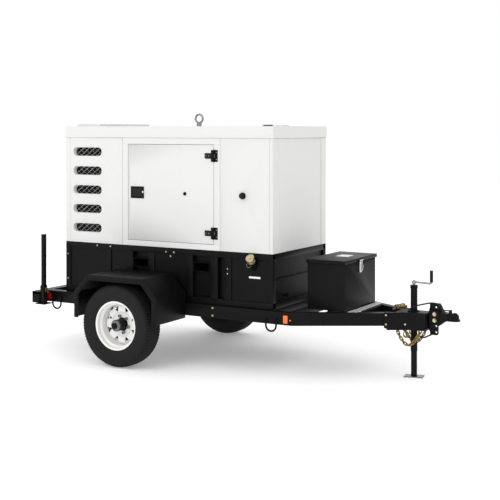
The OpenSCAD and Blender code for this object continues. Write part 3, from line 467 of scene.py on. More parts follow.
def slab(at, across, up, size, corner, rings, steps=7):
    """A rounded rectangle carried outwards through (inset, height) rings: each corner is a quarter
    circle, c + r (cos a, sin a), and an inset shrinks both the sides and the corner's radius."""
    at, across, up = (np.asarray(v, float) for v in (at, across, up))
    out = np.cross(across, up)
    a = np.linspace(0, 2 * np.pi, 4 * steps, endpoint=False) + np.pi / (4 * steps)
    grid = []
    for inset, height in rings:
        r = max(corner - inset, 0.0002)
        x = np.sign(np.cos(a)) * (size[0] / 2 - inset - r) + r * np.cos(a)
        y = np.sign(np.sin(a)) * (size[1] / 2 - inset - r) + r * np.sin(a)
        grid.append(at + x[:, None] * across + y[:, None] * up + height * out)
    return np.array(grid)


def islands(obj):
    """The separate solids of a node, as arrays of their corner points."""
    work = bmesh.new()
    work.from_mesh(obj.data)
    bmesh.ops.remove_doubles(work, verts=work.verts, dist=1e-5)
    left, found = set(work.verts), []
    while left:
        todo, group = [left.pop()], []
        while todo:
            vert = todo.pop()
            group.append(vert.co[:])
            near = {e.other_vert(vert) for e in vert.link_edges} & left
            left -= near
            todo.extend(near)
        found.append(np.array(group))
    work.free()
    return found


print("surface helpers ready")

# %% [markdown]
# ## Tyres
# A trailer tyre is moulded in one go: ribs and shoulder lugs for the tread, a rounded
# sidewall, and rings where the mould halves meet. The cross-section is worked out as a
# superellipse above the widest point and an ellipse below it. The tread is cut by moving
# points inwards along four zigzag grooves and along short slots at the shoulders.


# %% Tyres
def tyre_section():
    """Half-round (radius, y) outline in metres: superellipse |y/w|^3.4 + |h/72|^3.4 = 1 over the
    widest point, ellipse below it to the bead, then a coarse inner lining back to the start."""
    wide, waist, power = 0.1022, 0.272, 3.4
    turn = np.linspace(0, np.pi, 400)
    y = wide * np.sign(np.cos(turn)) * np.abs(np.cos(turn)) ** (2 / power)
    r = waist + (tyre_r - waist) * np.abs(np.sin(turn)) ** (2 / power)
    low_r = np.linspace(0.1908, waist, 30, endpoint=False)
    low_y = wide * np.sqrt(1 - ((waist - low_r) / 0.125) ** 2)
    r = np.r_[low_r, r, low_r[::-1]]
    y = np.r_[low_y, y, -low_y[::-1]]
    far = np.r_[0, np.cumsum(np.hypot(np.diff(r), np.diff(y)))]
    at = np.linspace(0, far[-1], 150)
    outer = np.stack([np.interp(at, far, r), np.interp(at, far, y)], -1)
    lining = outer[::-6].copy()
    lining[:, 0] = waist + (lining[:, 0] - waist) * 0.72
    lining[:, 1] *= 0.86
    lining[:, 0] = np.maximum(lining[:, 0], 0.1908)
    return outer, lining


def make_tyre(side, turns=432):
    """Revolves the section and cuts the tread: depth is a function of y and the angle a."""
    outer, lining = tyre_section()
    a = np.linspace(0, 2 * np.pi, turns, endpoint=False)[:, None]
    r = np.tile(outer[:, 0], (turns, 1))
    y = np.tile(outer[:, 1], (turns, 1))
    zigzag = 0.0028 * (2 * np.abs((a * 60 / (2 * np.pi)) % 1 - 0.5) * 2 - 1)
    depth = np.zeros_like(r)
    for row in (-0.048, -0.016, 0.016, 0.048):
        depth = np.maximum(depth, 0.007 * np.clip((0.0052 - np.abs(y - row - zigzag)) / 0.0016, 0, 1))
    lug = np.abs((a * 86 / (2 * np.pi)) % 1 - 0.5) * 2
    slot = np.clip((0.30 - lug) / 0.12, 0, 1) * np.clip((np.abs(y) - 0.061) / 0.003, 0, 1)
    depth = np.maximum(depth, 0.006 * slot * np.clip((r - 0.312) / 0.012, 0, 1))
    ring = 0.0012 * (np.exp(-((r - 0.236) / 0.0022) ** 2) + np.exp(-((r - 0.300) / 0.0022) ** 2))
    y = y + np.sign(y) * ring * (np.abs(y) > 0.06)
    r = r - depth
    r = np.hstack([r, np.tile(lining[:, 0], (turns, 1))])
    y = np.hstack([y, np.tile(lining[:, 1], (turns, 1))])
    grid = np.stack([wheel_x + r * np.cos(a), sides[side] * wheel_y + y, wheel_z + r * np.sin(a)], -1)
    made = piece("tyre_tread_" + side, grid, grid_faces(*grid.shape[:2], True, True),
                 "wheel_" + side, tyre_rubber, "tyre_rubber")
    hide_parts("tyre_" + side)
    return made


for side in sides:
    print(side, "tyre faces:", len(make_tyre(side).data.polygons))

# %% [markdown]
# ## Safety chains
# Each chain is a row of welded links, every second one turned a quarter, so that each link
# pulls on the next. A link is a stadium: two straight runs and two half circles, swept by
# the round of the wire. The links are laid out along the route that the CAD tube follows.

# %% Safety chains
NEAR_LOOP = [(1.376, -.064, .372), (1.395, -.070, .330), (1.425, -.074, .290), (1.462, -.078, .262),
             (1.500, -.076, .270), (1.535, -.072, .310), (1.560, -.066, .350), (1.568, -.058, .374)]
HEAP_LOOP = [(1.335, -.020, .530), (1.350, -.040, .548), (1.380, -.050, .560), (1.410, -.040, .552),
             (1.425, -.010, .545), (1.410, .025, .548), (1.375, .040, .552), (1.345, .030, .540)]
WIRE = 0.0046
LINK_RUN = 0.0085
LINK_BEND = 0.0105


def chain_links(route, sides_round=8, steps=20):
    """One grid per link: centre line x = run + bend cos a, y = bend sin a, then the wire's circle."""
    step = 2 * (LINK_RUN + LINK_BEND) - 2 * WIRE - 0.003
    centres = evenly(smooth_route(route, 12), step)
    t, u, w = frames(centres)
    a = np.linspace(0, 2 * np.pi, steps, endpoint=False)
    along = LINK_BEND * np.cos(a) + LINK_RUN * np.sign(np.cos(a))
    across = LINK_BEND * np.sin(a)
    b = np.linspace(0, 2 * np.pi, sides_round, endpoint=False)
    out = np.cos(b)[None, :] * WIRE
    up = np.sin(b)[None, :] * WIRE
    x = along[:, None] + np.cos(a)[:, None] * out
    y = across[:, None] + np.sin(a)[:, None] * out
    z = np.broadcast_to(up, x.shape)
    turn = np.where(np.arange(len(centres)) % 2 == 0, np.pi / 4, -np.pi / 4)
    side_way = np.cos(turn)[:, None] * u + np.sin(turn)[:, None] * w
    top_way = -np.sin(turn)[:, None] * u + np.cos(turn)[:, None] * w
    grid = (x[None, ..., None] * t[:, None, None, :] + y[None, ..., None] * side_way[:, None, None, :]
            + z[None, ..., None] * top_way[:, None, None, :])
    return grid + centres[:, None, None, :]


mirrored = [(x, -y, z) for x, y, z in NEAR_LOOP]
links = np.concatenate([chain_links(NEAR_LOOP), chain_links(mirrored), chain_links(HEAP_LOOP)])
chain = piece("safety_chain_links", *strips(links, True, True, False),
              "trailer", yellow_zinc, "yellow_zinc")
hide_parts("safety_chains")
print("links:", len(links))

# %% Chain hook
HOOK_AT = (1.449, -0.066, 0.340)
turn = np.linspace(math.radians(75), math.radians(-215), 30)
bend = np.stack([HOOK_AT[0] + 0.020 * np.cos(turn), HOOK_AT[1] + 0 * turn,
                 HOOK_AT[2] + 0.022 * np.sin(turn)], -1)
shank = np.array([(1.449, -0.066, 0.380), (1.452, -0.066, 0.370)])
hook_route = np.vstack([shank, bend])
girth = np.interp(np.linspace(0, 1, len(hook_route)), [0, 0.3, 0.7, 1], [0.0055, 0.0075, 0.0072, 0.0030])
hooks = []
for s in sides.values():
    hooks.append(tube(hook_route * [1, -s, 1], girth, 12))
piece("chain_hooks", *strips(hooks, False, True, True), "trailer", yellow_zinc, "yellow_zinc")
print("hooks:", len(hooks))

# %% [markdown]
# ## Brake and breakaway cables
# The two cables are clipped between the nose and the coupler, so their route is fixed.
# They are round tubes along the same points as the CAD model, drawn finer.

# %% Cables
UPPER_CABLE = [(1.460, -.050, .520), (1.478, -.056, .537), (1.500, -.060, .556), (1.547, -.062, .575),
               (1.600, -.062, .590), (1.652, -.062, .602), (1.700, -.060, .600), (1.730, -.054, .580),
               (1.752, -.044, .550), (1.760, -.038, .530)]
LOWER_CABLE = [(1.545, -.034, .376), (1.549, -.036, .340), (1.565, -.038, .326), (1.594, -.042, .325),
               (1.625, -.044, .340), (1.650, -.034, .352), (1.660, -.014, .356)]
CABLE_R = 0.0060
for name, route in (("breakaway_cable", UPPER_CABLE), ("brake_cable", LOWER_CABLE)):
    grid = tube(smooth_route(route, 8), CABLE_R, 16)
    cable = piece(name, *strips([grid], False, True, True), "trailer", cable_jacket, "cable_rubber")
    if name == "breakaway_cable":
        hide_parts("brake_cables")
print("cables made")

# %% [markdown]
# ## Softened sheet steel
# No folded or cut edge on a real machine is perfectly sharp. The brake press leaves a
# radius, and powder rounds it further, and that radius is what catches the light. Each
# boxy CAD node is copied, its loose triangles are merged, flat faces are joined up, and
# a Bevel modifier rounds every edge sharper than 30 degrees. The rim of the right door is
# one face round a hole, so it is cut into triangles again, which keeps the hole open.


# %% Softened copies
CUT_AGAIN = "door_right"


def soften(name, width, steps=2):
    """A copy of a CAD node with merged points and rounded edges; it stands for the node."""
    work = bmesh.new()
    work.from_mesh(nodes[name].data)
    bmesh.ops.remove_doubles(work, verts=work.verts, dist=2e-6)
    bmesh.ops.dissolve_limit(work, angle_limit=math.radians(0.5), verts=work.verts, edges=work.edges)
    if name == CUT_AGAIN:
        bmesh.ops.triangulate(work, faces=[f for f in work.faces if len(f.verts) > 4])
    mesh = bpy.data.meshes.new(name + "_softened")
    work.to_mesh(mesh)
    work.free()
    made = bpy.data.objects.new(name + "_softened", mesh)
    bpy.context.scene.collection.objects.link(made)
    made.data.materials.append(nodes[name].data.materials[0])
    mesh.polygons.foreach_set("use_smooth", [True] * len(mesh.polygons))
    edge = made.modifiers.new("edge_radius", "BEVEL")
    edge.width = width
    edge.segments = steps
    edge.limit_method = "ANGLE"
    edge.angle_limit = math.radians(30)
    edge.use_clamp_overlap = True
    edge.harden_normals = True
    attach(made, body_of[name])
    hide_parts(name)
    return made


body_of = {name: body for body, names in frame["record"]["behaviour"]["bodies"].items() for name in names}
EDGE_MM = {"roof": 4, "corner_posts": 2.5, "fenders": 1.5, "toolbox_body": 1.2, "toolbox_lid": 1.4,
           "frame_rails": 2, "cross_members": 1.8, "base_frame": 1.6, "nose_housing": 2.5, "coupler_plate": 2,
           "coupler_body": 2, "radiator": 1.5, "stabiliser_sleeves": 1.5, "stabiliser_leg_right": 1.8,
           "stabiliser_leg_left": 1.8, "engine_block": 4, "control_panel": 2, "door_hardware_right": 0.8,
           "door_hardware_left": 0.8, "panel_hardware": 0.8, "step_grating": 1, "door_right": 1.5,
           "door_left": 1.5, "end_panels": 1, "side_panels": 0.8, "axle_tube": 3}
for name, radius in EDGE_MM.items():
    soften(name, radius * MM)
print("softened", len(EDGE_MM), "nodes")

# %% [markdown]
# ## Louvre slots
# Warm air leaves through five slots on each side. Each slot is a pressed sleeve that turns
# in through 45 mm, with expanded metal across its back: a sheet that is slit and pulled, so
# that its strands open into diamonds. Behind it hangs a dark pad of acoustic foam, which is
# also painted shade: it stands in for the shade inside the enclosure.


# %% Louvre sleeves
mesh_low, mesh_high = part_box("louvre_mesh")
MESH_MARGIN = 0.010
SLOT_H = 0.079
SLOT_BEND = 0.038
SLEEVE_DEEP = 0.045
slot_x = (mesh_low.x + mesh_high.x) / 2
slot_half = (mesh_high.x - mesh_low.x) / 2 - MESH_MARGIN
slot_pitch = (mesh_high.z - mesh_low.z - SLOT_H - 2 * MESH_MARGIN) / 4
slot_z = [mesh_low.z + MESH_MARGIN + SLOT_H / 2 + k * slot_pitch for k in range(5)]
case_y = -case_low.y


def sleeve(side, z, n=16):
    """Carries a lip-and-wall section round the slot: x = run cos-side + r cos a, z = rise + r sin a."""
    a = np.linspace(0, 2 * np.pi, 4 * n, endpoint=False) + np.pi / (4 * n)
    run, rise = slot_half - SLOT_BEND, SLOT_H / 2 - SLOT_BEND
    section = np.array([(0.0002, 0.0), (0.0012, 0.0004), (0.0022, 0.002), (0.0022, SLEEVE_DEEP),
                        (0.0002, SLEEVE_DEEP), (0.0002, 0.004)])
    reach = SLOT_BEND - section[None, :, 0]
    x = slot_x + run * np.sign(np.cos(a))[:, None] + reach * np.cos(a)[:, None]
    up = z + rise * np.sign(np.sin(a))[:, None] + reach * np.sin(a)[:, None]
    y = sides[side] * (case_y - section[None, :, 1]) + 0 * x
    return np.stack([x, y, up], -1)


sleeves = [sleeve(side, z) for side in sides for z in slot_z]
piece("louvre_sleeves", *strips(sleeves, True, True, False), "trailer", white_coat, "white_paint")
print("sleeves:", len(sleeves))

# %% Expanded metal
DIAMOND_L = 0.060
DIAMOND_H = 0.044
STRAND = 0.0030


def strand(side, z, row):
    """One zigzag strand: its height follows a triangle wave, half a diamond out of step per row."""
    x = np.arange(slot_x - slot_half - 0.004, slot_x + slot_half + 0.004, DIAMOND_L / 2)
    middle = z + row * DIAMOND_H / 2 + DIAMOND_H / 4 * np.where((np.arange(len(x)) + row) % 2 == 0, 1, -1)
    middle = np.clip(middle, z - SLOT_H / 2 - 0.002, z + SLOT_H / 2 + 0.002)
    deep = case_y - SLEEVE_DEEP - 0.003
    corners = [(-1, -0.0016), (1, 0.0004), (1, 0.0016), (-1, -0.0004)]
    return np.stack([np.stack([x, sides[side] * (deep + t) + 0 * x, middle + c * STRAND / 2], -1)
                     for c, t in corners], 1)


rows = range(-2, 3)
lattice = [strand(side, z, row) for side in sides for z in slot_z for row in rows]
metal = piece("expanded_metal", *strips(lattice, False, True, True),
              "trailer", galvanised, "mesh_steel", False)
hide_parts("louvre_mesh")
# painted shade: a dark foam pad behind each slot stands in for the shade inside the enclosure, as well as for
# its acoustic foam
foam_and_shade_pads = [pillow((slot_x - slot_half - 0.03, sides[side] * (case_y - 0.062) - 0.008, z - 0.055),
               (slot_x + slot_half + 0.03, sides[side] * (case_y - 0.062) + 0.008, z + 0.055), 12.0, 8)
        for side in sides for z in slot_z]
piece("acoustic_foam", *strips(foam_and_shade_pads, True, False, False), "trailer", foam, "black_plastic")
print("strands:", len(lattice))

# %% [markdown]
# ## Bolts and lug nuts
# A hexagon head is a prism whose corners are cut by a cone when it is forged. The radius
# at angle a is the flat's distance divided by the cosine of the angle from the nearest
# flat, and it is never more than the cone allows at that height.


# %% Hexagon heads
def hex_head(at, axis, across, height, washer=0.0):
    """A washer, a hexagon with chamfered corners, and a flat top, along an axis from a face."""
    r = across / 2
    foot = [(0.0, 0.0), (r, 0.0)]
    if washer:
        foot = [(0.0, 0.0), (r * 1.32, 0.0), (r * 1.32, washer), (r, washer)]
    body = [(r * 1.13, washer + 0.0004), (r * 1.13, washer + height * 0.8),
            (r * 1.02, washer + height * 0.95),
            (r * 0.9, washer + height), (0.0, washer + height)]
    grid = turned(foot + body, at, axis, 24)
    plain = turned([(1.0, 0.0)], at, axis, 24)[:, 0] - np.asarray(at)
    a = np.linspace(0, 2 * np.pi, 24, endpoint=False)
    flat = r / np.cos((a + np.pi / 6) % (np.pi / 3) - np.pi / 6)
    first = len(foot)
    for k in range(first, first + 3):
        radius, h = body[k - first]
        axis_unit = np.asarray(axis, float) / np.linalg.norm(axis)
        grid[:, k] = np.asarray(at) + plain * np.minimum(flat, radius)[:, None] + h * axis_unit
    return grid


def with_one_length(grids):
    """Pads grids of heads to one size by repeating their last ring, so that they can be joined."""
    longest = max(g.shape[1] for g in grids)
    return [np.concatenate([g] + [g[:, -1:]] * (longest - g.shape[1]), 1) for g in grids]


heads = []
for solid in islands(nodes["fasteners"]):
    low, high = solid.min(0), solid.max(0)
    middle = (low + high) / 2
    if middle[0] > 1.2:
        turn = math.radians(30) * np.sign(middle[1])
        axis = np.array([-math.sin(abs(turn)), np.sign(middle[1]) * math.cos(turn), 0])
        axis[0] *= -1
    else:
        axis = np.array([0, np.sign(middle[1]), 0])
    depth = (solid @ axis).max() - (solid @ axis).min()
    radius = (high[2] - low[2]) / 2 / 1.25
    foot = middle - axis * depth / 2
    heads.append(hex_head(foot, axis, 1.35 * radius, depth * 0.75, 0.002))
bolts = piece("bolt_heads", *strips(with_one_length(heads), True, False, False),
              "trailer", pale_zinc, "yellow_zinc")
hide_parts("fasteners")
coupler_bolts = [hex_head((1.677, s * 0.042, z), (0, s, 0), 0.0245, 0.0112, 0.0022)
                 for s in sides.values() for z in (0.465, 0.514)]
piece("coupler_bolts", *strips(coupler_bolts, True, False, False), "trailer", pale_zinc, "yellow_zinc")
print("bolts:", len(heads) + len(coupler_bolts))

# %% Lug nuts, grease caps and valve stems
STUD_CIRCLE = 0.06985
STUD_PHASE = math.radians(14)
disc_y = wheel_y - 0.0145
for side, s in sides.items():
    out = np.array([0.0, s, 0.0])
    nuts = []
    for k in range(6):
        a = STUD_PHASE + k * math.pi / 3
        at = np.array([wheel_x + STUD_CIRCLE * math.cos(a), s * (disc_y - 0.0035),
                       wheel_z - STUD_CIRCLE * math.sin(a)])
        nuts.append(hex_head(at, out, 0.0222, 0.024, 0.004))
    piece("lug_nuts_" + side, *strips(nuts, True, False, False), "wheel_" + side, bright_zinc, "zinc")
    cap = turned([(0.0455, 0.0), (0.0465, 0.002), (0.0465, 0.0045), (0.0325, 0.0065), (0.0318, 0.012),
                  (0.030, 0.0165), (0.0268, 0.0185), (0.0262, 0.0178)],
                 (wheel_x, s * (wheel_y + 0.0705), wheel_z), out, 48)
    piece("grease_cap_" + side, *strips([cap], True, False, False), "wheel_" + side, bright_zinc, "zinc")
    plug = turned([(0.0262, 0.0), (0.0245, 0.0022), (0.012, 0.0032), (0.0, 0.0034)],
                  (wheel_x, s * (wheel_y + 0.0885), wheel_z), out, 32)
    piece("rubber_plug_" + side, *strips([plug], True, False, False),
          "wheel_" + side, grip_plastic, "black_plastic")
    lean = math.radians(128)
    foot = np.array([wheel_x + 0.157 * math.cos(lean), s * (wheel_y - 0.012),
                     wheel_z + 0.157 * math.sin(lean)])
    stem = turned([(0.0, 0.0), (0.009, 0.0), (0.009, 0.003), (0.006, 0.008), (0.0045, 0.02), (0.0045, 0.026),
                   (0.0052, 0.0262), (0.0052, 0.036), (0.0042, 0.038), (0.0, 0.038)], foot,
                  out + np.array([-0.25 * math.cos(lean), 0, -0.25 * math.sin(lean)]), 16)
    piece("valve_stem_" + side, *strips([stem], True, False, False),
          "wheel_" + side, grip_plastic, "black_plastic")
print("wheel trims made")

# %% [markdown]
# ## Bent bar: tie-down loops and the jack's crank
# Both are round bar bent cold, so each is a circle carried along a route of straight runs
# whose corners are eased by a curve.


# %% Tie-down loops and crank
BAR_R = 0.0075
LOOP_HALF = 0.046
rings = []
for solid in islands(nodes["tie_down_rings"]):
    low, high = solid.min(0), solid.max(0)
    x, y = (low[0] + high[0]) / 2, (low[1] + high[1]) / 2
    middle_z = low[2] + LOOP_HALF + BAR_R
    a = np.linspace(0, np.pi, 25)
    arc = np.stack([x + LOOP_HALF * np.cos(a), y + 0 * a, middle_z - LOOP_HALF * np.sin(a)], -1)
    route = np.vstack([[x + LOOP_HALF, y, high[2] - 0.002], arc, [x - LOOP_HALF, y, high[2] - 0.002]])
    rings.append(tube(route, BAR_R, 14))
loops = piece("tie_down_loops", *strips(rings, False, True, True), "trailer", black_coat, "black_paint")
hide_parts("tie_down_rings")

crank_low, crank_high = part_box("jack_crank")
jack_x = crank_low.x + 0.017
grip_x = crank_high.x - BAR_R
arm_z = crank_low.z + 0.504
crank_route = bent([(jack_x, 0, crank_low.z), (jack_x, 0, arm_z + 0.004), (jack_x + 0.06, 0, arm_z + 0.002),
                    (grip_x, 0, arm_z - 0.001), (grip_x, 0, crank_high.z)], 0.014)
crank = piece("crank_handle", *strips([tube(crank_route, BAR_R, 16)], False, True, True),
              "jack_crank", bright_zinc, "zinc")
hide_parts("jack_crank")
knuckle = turned([(0.0, -0.012), (0.013, -0.012), (0.0155, -0.009), (0.0165, 0.0),
                  (0.0155, 0.009), (0.013, 0.012), (0.0, 0.012)],
                 (jack_x, 0, arm_z + 0.002), (0, 1, 0), 32)
piece("crank_knuckle", *strips([knuckle], True, False, False), "jack_crank", bright_zinc, "zinc")
print("loops:", len(rings), "crank arm at", round(arm_z, 3))

# %% [markdown]
# ## Jack foot, toolbox latch and fuel cap
# The foot is a zinc-plated plate with rolled edges. The latch is a chromed D-shaped ring
# that folds down over a staple. The fuel cap is cast, with finger lobes round its rim, and
# its grip is a cross: the radius of the lobes is a cosine of eight turns.

# %% Jack foot
flat_rings = [(0.003, 0.0), (0.0, 0.0015), (0.0, 0.0050), (0.0015, 0.0066), (0.004, 0.0070)]
lean = math.radians(12)
foot_across, foot_up = (math.cos(lean), math.sin(lean), 0), (-math.sin(lean), math.cos(lean), 0)
sole = slab((jack_x, 0, 0), foot_across, foot_up, (0.1502, 0.1002), 0.008, flat_rings)
piece("jack_foot", *strips([sole], False, True, True), "jack_leg", bright_zinc, "zinc")
collar = turned([(0.0241, 0.0065), (0.0278, 0.0068), (0.0270, 0.0082), (0.0254, 0.0094), (0.0241, 0.0098)],
                (jack_x, 0, 0), (0, 0, 1), 40)
piece("jack_foot_weld", *strips([collar], True, False, False), "jack_leg", black_coat, "black_paint")
print("foot thickness", flat_rings[-1][1])

# %% Toolbox latch
latch_low, latch_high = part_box("toolbox_latch")
latch_x = (latch_low.x + latch_high.x) / 2
D_HALF = 0.040
D_FLAT = -0.054
RING_WIRE = 0.0034
d_mid = latch_low.z + 0.002 + D_HALF
turn = np.linspace(-np.pi / 2, np.pi / 2, 22)
arc = np.stack([latch_x + 0 * turn, D_FLAT + 0.012 + 0.046 * np.cos(turn),
                d_mid + D_HALF * np.sin(turn)], -1)
run = np.linspace(D_HALF, -D_HALF, 8)[:, None]
flat = np.hstack([latch_x + 0 * run, D_FLAT + 0 * run, d_mid + run])
ring = tube(np.vstack([arc, flat]), RING_WIRE, 12, never=(1.0, 0.0, 0.0))
bars = [tube(np.array([[latch_x, y, d_mid - h], [latch_x, y, d_mid], [latch_x, y, d_mid + h]]), 0.0022, 8)
        for y, h in ((-0.040, 0.040), (-0.028, 0.037))]
eye_y = np.linspace(-0.058, 0.008, 9)
rod = np.stack([latch_x + 0 * eye_y, eye_y, latch_high.z - 0.004 + 0 * eye_y], -1)
a = np.linspace(0, 2 * np.pi, 12, endpoint=False)
barrel = rod[:, None] + 0.004 * np.stack([np.cos(a), 0 * a, np.sin(a)], -1)[None]
links_up = [tube(np.array([[latch_x, y, d_mid + 0.030], [latch_x, y, latch_high.z - 0.010],
                           [latch_x, y, latch_high.z - 0.004]]),
                 0.0030, 10) for y in (-0.050, -0.012)]
d_ring = piece("latch_ring", *strips([ring], True, True, False), "toolbox_latch", chrome, "chrome")
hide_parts("toolbox_latch")
piece("latch_bars", *strips(bars, False, True, True), "toolbox_latch", chrome, "chrome")
piece("latch_links", *strips(links_up, False, True, True), "toolbox_latch", chrome, "chrome")
piece("latch_barrel", *strips([barrel], False, True, True), "toolbox_latch", chrome, "chrome")
print("latch ring height", round(2 * D_HALF, 3))

# %% Fuel cap
CAP_AT = (0.309, -0.545, 0.920)
cap_axis = np.array([0.0, -1.0, 1.0]) / math.sqrt(2)


def lobes(a):
    """Radius factor 1 - 0.05 (1 + cos 8a) / 2: eight shallow finger hollows."""
    return 1 - 0.05 * (1 + np.cos(8 * a)) / 2


rim = turned([(0.0275, -0.0195), (0.0365, -0.0195), (0.0378, -0.017), (0.0378, 0.003), (0.0360, 0.0075),
              (0.0310, 0.0090), (0.0275, 0.0078), (0.0, 0.0078)], CAP_AT, cap_axis, 96, lobes)
cap = piece("fuel_cap_shell", *strips([rim], True, False, False), "fuel_cap", pale_zinc, "yellow_zinc")
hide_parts("fuel_cap")
across_x = np.array([1.0, 0.0, 0.0])
cap_top = np.asarray(CAP_AT) + 0.0075 * cap_axis
up_face = np.cross(cap_axis, across_x)
grip_rings = [(0.0, 0.0), (0.0006, 0.0045), (0.0022, 0.0068), (0.0040, 0.0074)]
grips = [slab(cap_top, u, v, (0.054, 0.0115), 0.004, grip_rings)
         for u, v in ((across_x, up_face), (up_face, -across_x))]
piece("fuel_cap_grip", *strips(grips, False, True, True), "fuel_cap", pale_zinc, "yellow_zinc")
neck = turned([(0.0272, -0.046), (0.0320, -0.046), (0.0330, -0.044), (0.0330, -0.030), (0.0310, -0.0275),
               (0.0272, -0.0270)], CAP_AT, cap_axis, 48)
piece("filler_collar", *strips([neck], True, False, False), "trailer", pale_zinc, "yellow_zinc")
tether = smooth_route([(0.280, -0.530, 0.884), (0.268, -0.528, 0.862), (0.275, -0.524, 0.842),
                       (0.292, -0.515, 0.845), (0.300, -0.508, 0.852)], 8)
piece("cap_tether", *strips([tube(tether, 0.0018, 8)], False, True, True), "trailer", bright_zinc, "zinc")
print("cap lobes: 8")

# %% [markdown]
# ## Lamps and labels
# A marker lamp is a moulded lens that clips over a black rubber base. The lens is a rounded
# block: rings that step in as they rise. The labels are blank vinyl, half a millimetre
# thick, and the plates that carry them have no lettering.

# %% Lamps
lens_rings = [(0.0, 0.004), (0.0002, 0.009), (0.0015, 0.0125), (0.005, 0.0138), (0.0075, 0.0138)]
base_rings = [(0.0, 0.0), (0.0, 0.0035), (0.0012, 0.0045)]


def lamps(node, finish, slot):
    """A lens and a base for each solid of a lamp node, facing the way that the solid is thin."""
    lenses, bases = [], []
    for solid in islands(nodes[node]):
        low, high = solid.min(0), solid.max(0)
        middle, size = (low + high) / 2, high - low
        if size[0] < 0.02:
            at, across = (high[0], middle[1], middle[2]), (0, -1, 0)
            wide = size[1]
        else:
            s = np.sign(middle[1])
            at, across = (middle[0], s * min(abs(low[1]), abs(high[1])), middle[2]), (-s, 0, 0)
            wide = size[0]
        tall = min(size[0], size[1]) / lens_rings[-1][1]
        rings = [(inset, h * tall) for inset, h in lens_rings]
        foot = [(inset, h * tall) for inset, h in base_rings]
        lenses.append(slab(at, across, (0, 0, 1), (wide - 0.002, size[2] - 0.002), 0.006, rings))
        bases.append(slab(at, across, (0, 0, 1), (wide, size[2]), 0.006, foot))
    lens = piece(node + "_lenses", *strips(lenses, False, True, True), "trailer", finish, slot)
    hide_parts(node)
    piece(node + "_bases", *strips(bases, False, True, True), "trailer", grip_plastic, "black_plastic")
    return len(lenses)


print("amber lamps:", lamps("amber_markers", amber_lens, "amber_lens"))
print("red lamps:", lamps("red_lamps", red_lens, "red_lens"))
plugs = [pillow((0.664, s * 0.5415 - 0.0045, 0.446), (0.676, s * 0.5415 + 0.0045, 0.458), 3.0, 10)
         for s in sides.values()]
piece("amber_plugs", *strips(plugs, True, False, False), "trailer", amber_lens, "amber_lens")

# %% Labels
thin_rings = [(0.0, 0.0), (0.0, 0.0005), (0.0004, 0.0007)]
face_y = case_y - 0.008
label_side = slab((0.3135, -face_y, 0.757), (1, 0, 0), (0, 0, 1), (0.105, 0.016), 0.002, thin_rings)
lid_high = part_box("toolbox_lid")[1]
label_lid = slab((0.875, 0.035, lid_high.z + 0.0001), (1, 0, 0), (0, 1, 0), (0.11, 0.13), 0.004, thin_rings)
piece("blank_label_side", *strips([label_side], False, True, True), "trailer", label_vinyl, "white_paint")
piece("blank_label_lid", *strips([label_lid], False, True, True), "toolbox_lid", label_vinyl, "white_paint")
print("labels made")

# %% [markdown]
# ## Hinge covers, screws and the door lock
# Each strap hinge has a moulded cover on the door's leaf and pan-head screws through both
# leaves. The paddle handle has a key lock at its edge, and each door closes on a rubber
# gasket: a bead carried round the opening, and a foam pad behind the sheet.

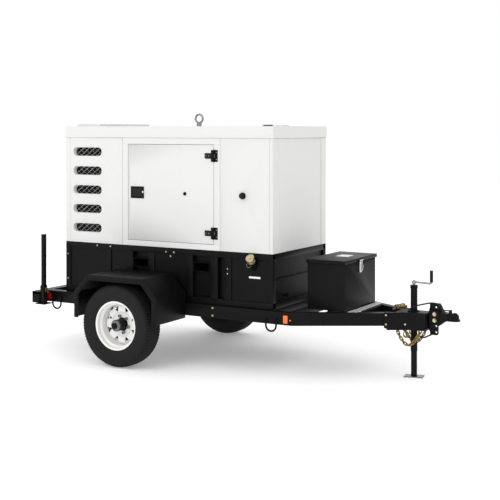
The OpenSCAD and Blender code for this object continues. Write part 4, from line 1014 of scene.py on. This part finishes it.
# %% Door trims
door_low, door_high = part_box("door_right")
HINGE_X = -0.070
HINGE_Z = (1.095, 1.735)
PADDLE = (-0.8405, 1.4135)
cover_rings = [(0.0, 0.0), (0.0, 0.0040), (0.0015, 0.0058), (0.004, 0.0066)]
screw_rings = [(0.0045, 0.0), (0.0045, 0.0008), (0.0036, 0.0024), (0.0018, 0.0030), (0.0, 0.0030)]
for side, s in sides.items():
    out = (0, s, 0)
    across = (-s, 0, 0)
    body = "door_" + side
    covers = [slab((HINGE_X - 0.055, s * case_y, z), across, (0, 0, 1), (0.064, 0.046), 0.009, cover_rings)
              for z in HINGE_Z]
    piece("hinge_covers_" + side, *strips(covers, False, True, True), body, grip_plastic, "black_plastic")
    leaf = [turned(screw_rings, (HINGE_X + 0.028, s * (case_y + 0.003), z + h), out, 16)
            for z in HINGE_Z for h in (-0.029, 0.029)]
    piece("hinge_screws_" + side, *strips(leaf, True, False, False), "trailer", bright_zinc, "zinc")
    strap = [turned(screw_rings, (HINGE_X - x, s * (case_y + 0.0064), z), out, 16)
             for z in HINGE_Z for x in (0.045, 0.072)]
    piece("strap_screws_" + side, *strips(strap, True, False, False), body, bright_zinc, "zinc")
    lock = turned([(0.0085, 0.0), (0.0085, 0.0012), (0.0075, 0.0020), (0.0030, 0.0022), (0.0026, 0.0012),
                   (0.0, 0.0012)], (PADDLE[0] + 0.059, s * (case_y + 0.006), PADDLE[1] + 0.004), out, 28)
    piece("door_lock_" + side, *strips([lock], True, False, False), body, chrome, "chrome")
    middle = ((door_low.x + door_high.x) / 2, s * (case_y - 0.021), (door_low.z + door_high.z) / 2)
    size = (door_high.x - door_low.x - 0.030, door_high.z - door_low.z - 0.030)
    a = np.linspace(0, 2 * np.pi, 10, endpoint=False)
    bead = [(0.006 * math.cos(t) + 0.006, 0.0035 * math.sin(t)) for t in a]
    gasket = slab(middle, across, (0, 0, 1), size, 0.030, bead)
    piece("door_gasket_" + side, *strips([gasket], True, True, False), body, cable_jacket, "cable_rubber")
    pad_rings = [(0.0, 0.0), (0.0, 0.008), (0.006, 0.012), (0.016, 0.013), (0.0175, 0.013), (0.019, 0.013)]
    pad_at = (middle[0], s * (case_y - 0.004), middle[2])
    pad = slab(pad_at, (s, 0, 0), (0, 0, 1), (size[0] - 0.06, size[1] - 0.06), 0.02, pad_rings)
    piece("door_foam_" + side, *strips([pad], False, True, True), body, foam, "black_plastic")
print("door trims made for", list(sides))

# %% [markdown]
# ## Tread plate
# The step beside the toolbox is punched so that a boot holds on it. Each tooth is a low
# raised lozenge: a dome whose height falls off as 1 - (u/a)^2 - (v/b)^2, turned one way
# and then the other.

# %% Tread teeth
step_low, step_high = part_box("step_grating")
TOOTH_L = 0.022
TOOTH_W = 0.008
TOOTH_PITCH = 0.0205
tooth_y = np.arange(step_low.y + 0.014, step_high.y - 0.012, TOOTH_PITCH)
tooth_x = np.linspace(step_low.x + 0.013, step_high.x - 0.013, 3)
teeth = []
for i, x in enumerate(tooth_x):
    for j, y in enumerate(tooth_y):
        lean = math.radians(45 if (i + j) % 2 else -45)
        r = np.array([1.0, 0.72, 0.4, 0.05])[:, None]
        a = np.linspace(0, 2 * np.pi, 12, endpoint=False)[None, :]
        u, v = TOOTH_L / 2 * r * np.cos(a), TOOTH_W / 2 * r * np.sin(a)
        rise = 0.0022 * (1 - r ** 2) + 0 * a
        teeth.append(np.stack([x + u * math.cos(lean) - v * math.sin(lean),
                               y + u * math.sin(lean) + v * math.cos(lean), step_high.z + rise], -1))
piece("tread_teeth", *strips(teeth, False, True, True), "trailer", aluminium, "tread_plate")
print("teeth:", len(teeth))

# %% Floor
FLOOR_ACROSS = 60
bpy.ops.mesh.primitive_plane_add(size=FLOOR_ACROSS, location=(0, 0, 0))
floor = bpy.context.object
floor.name = "studio_floor"
floor_paint, _, floor_shader, _ = new_material("pale_studio_floor")
floor_shader.inputs["Base Color"].default_value = colour("#f6f6f6")
floor_shader.inputs["Roughness"].default_value = 0.9
floor_shader.inputs["Emission Color"].default_value = colour("#ffffff")
floor_shader.inputs["Emission Strength"].default_value = 0.22
dress(floor, floor_paint)
print("floor laid")
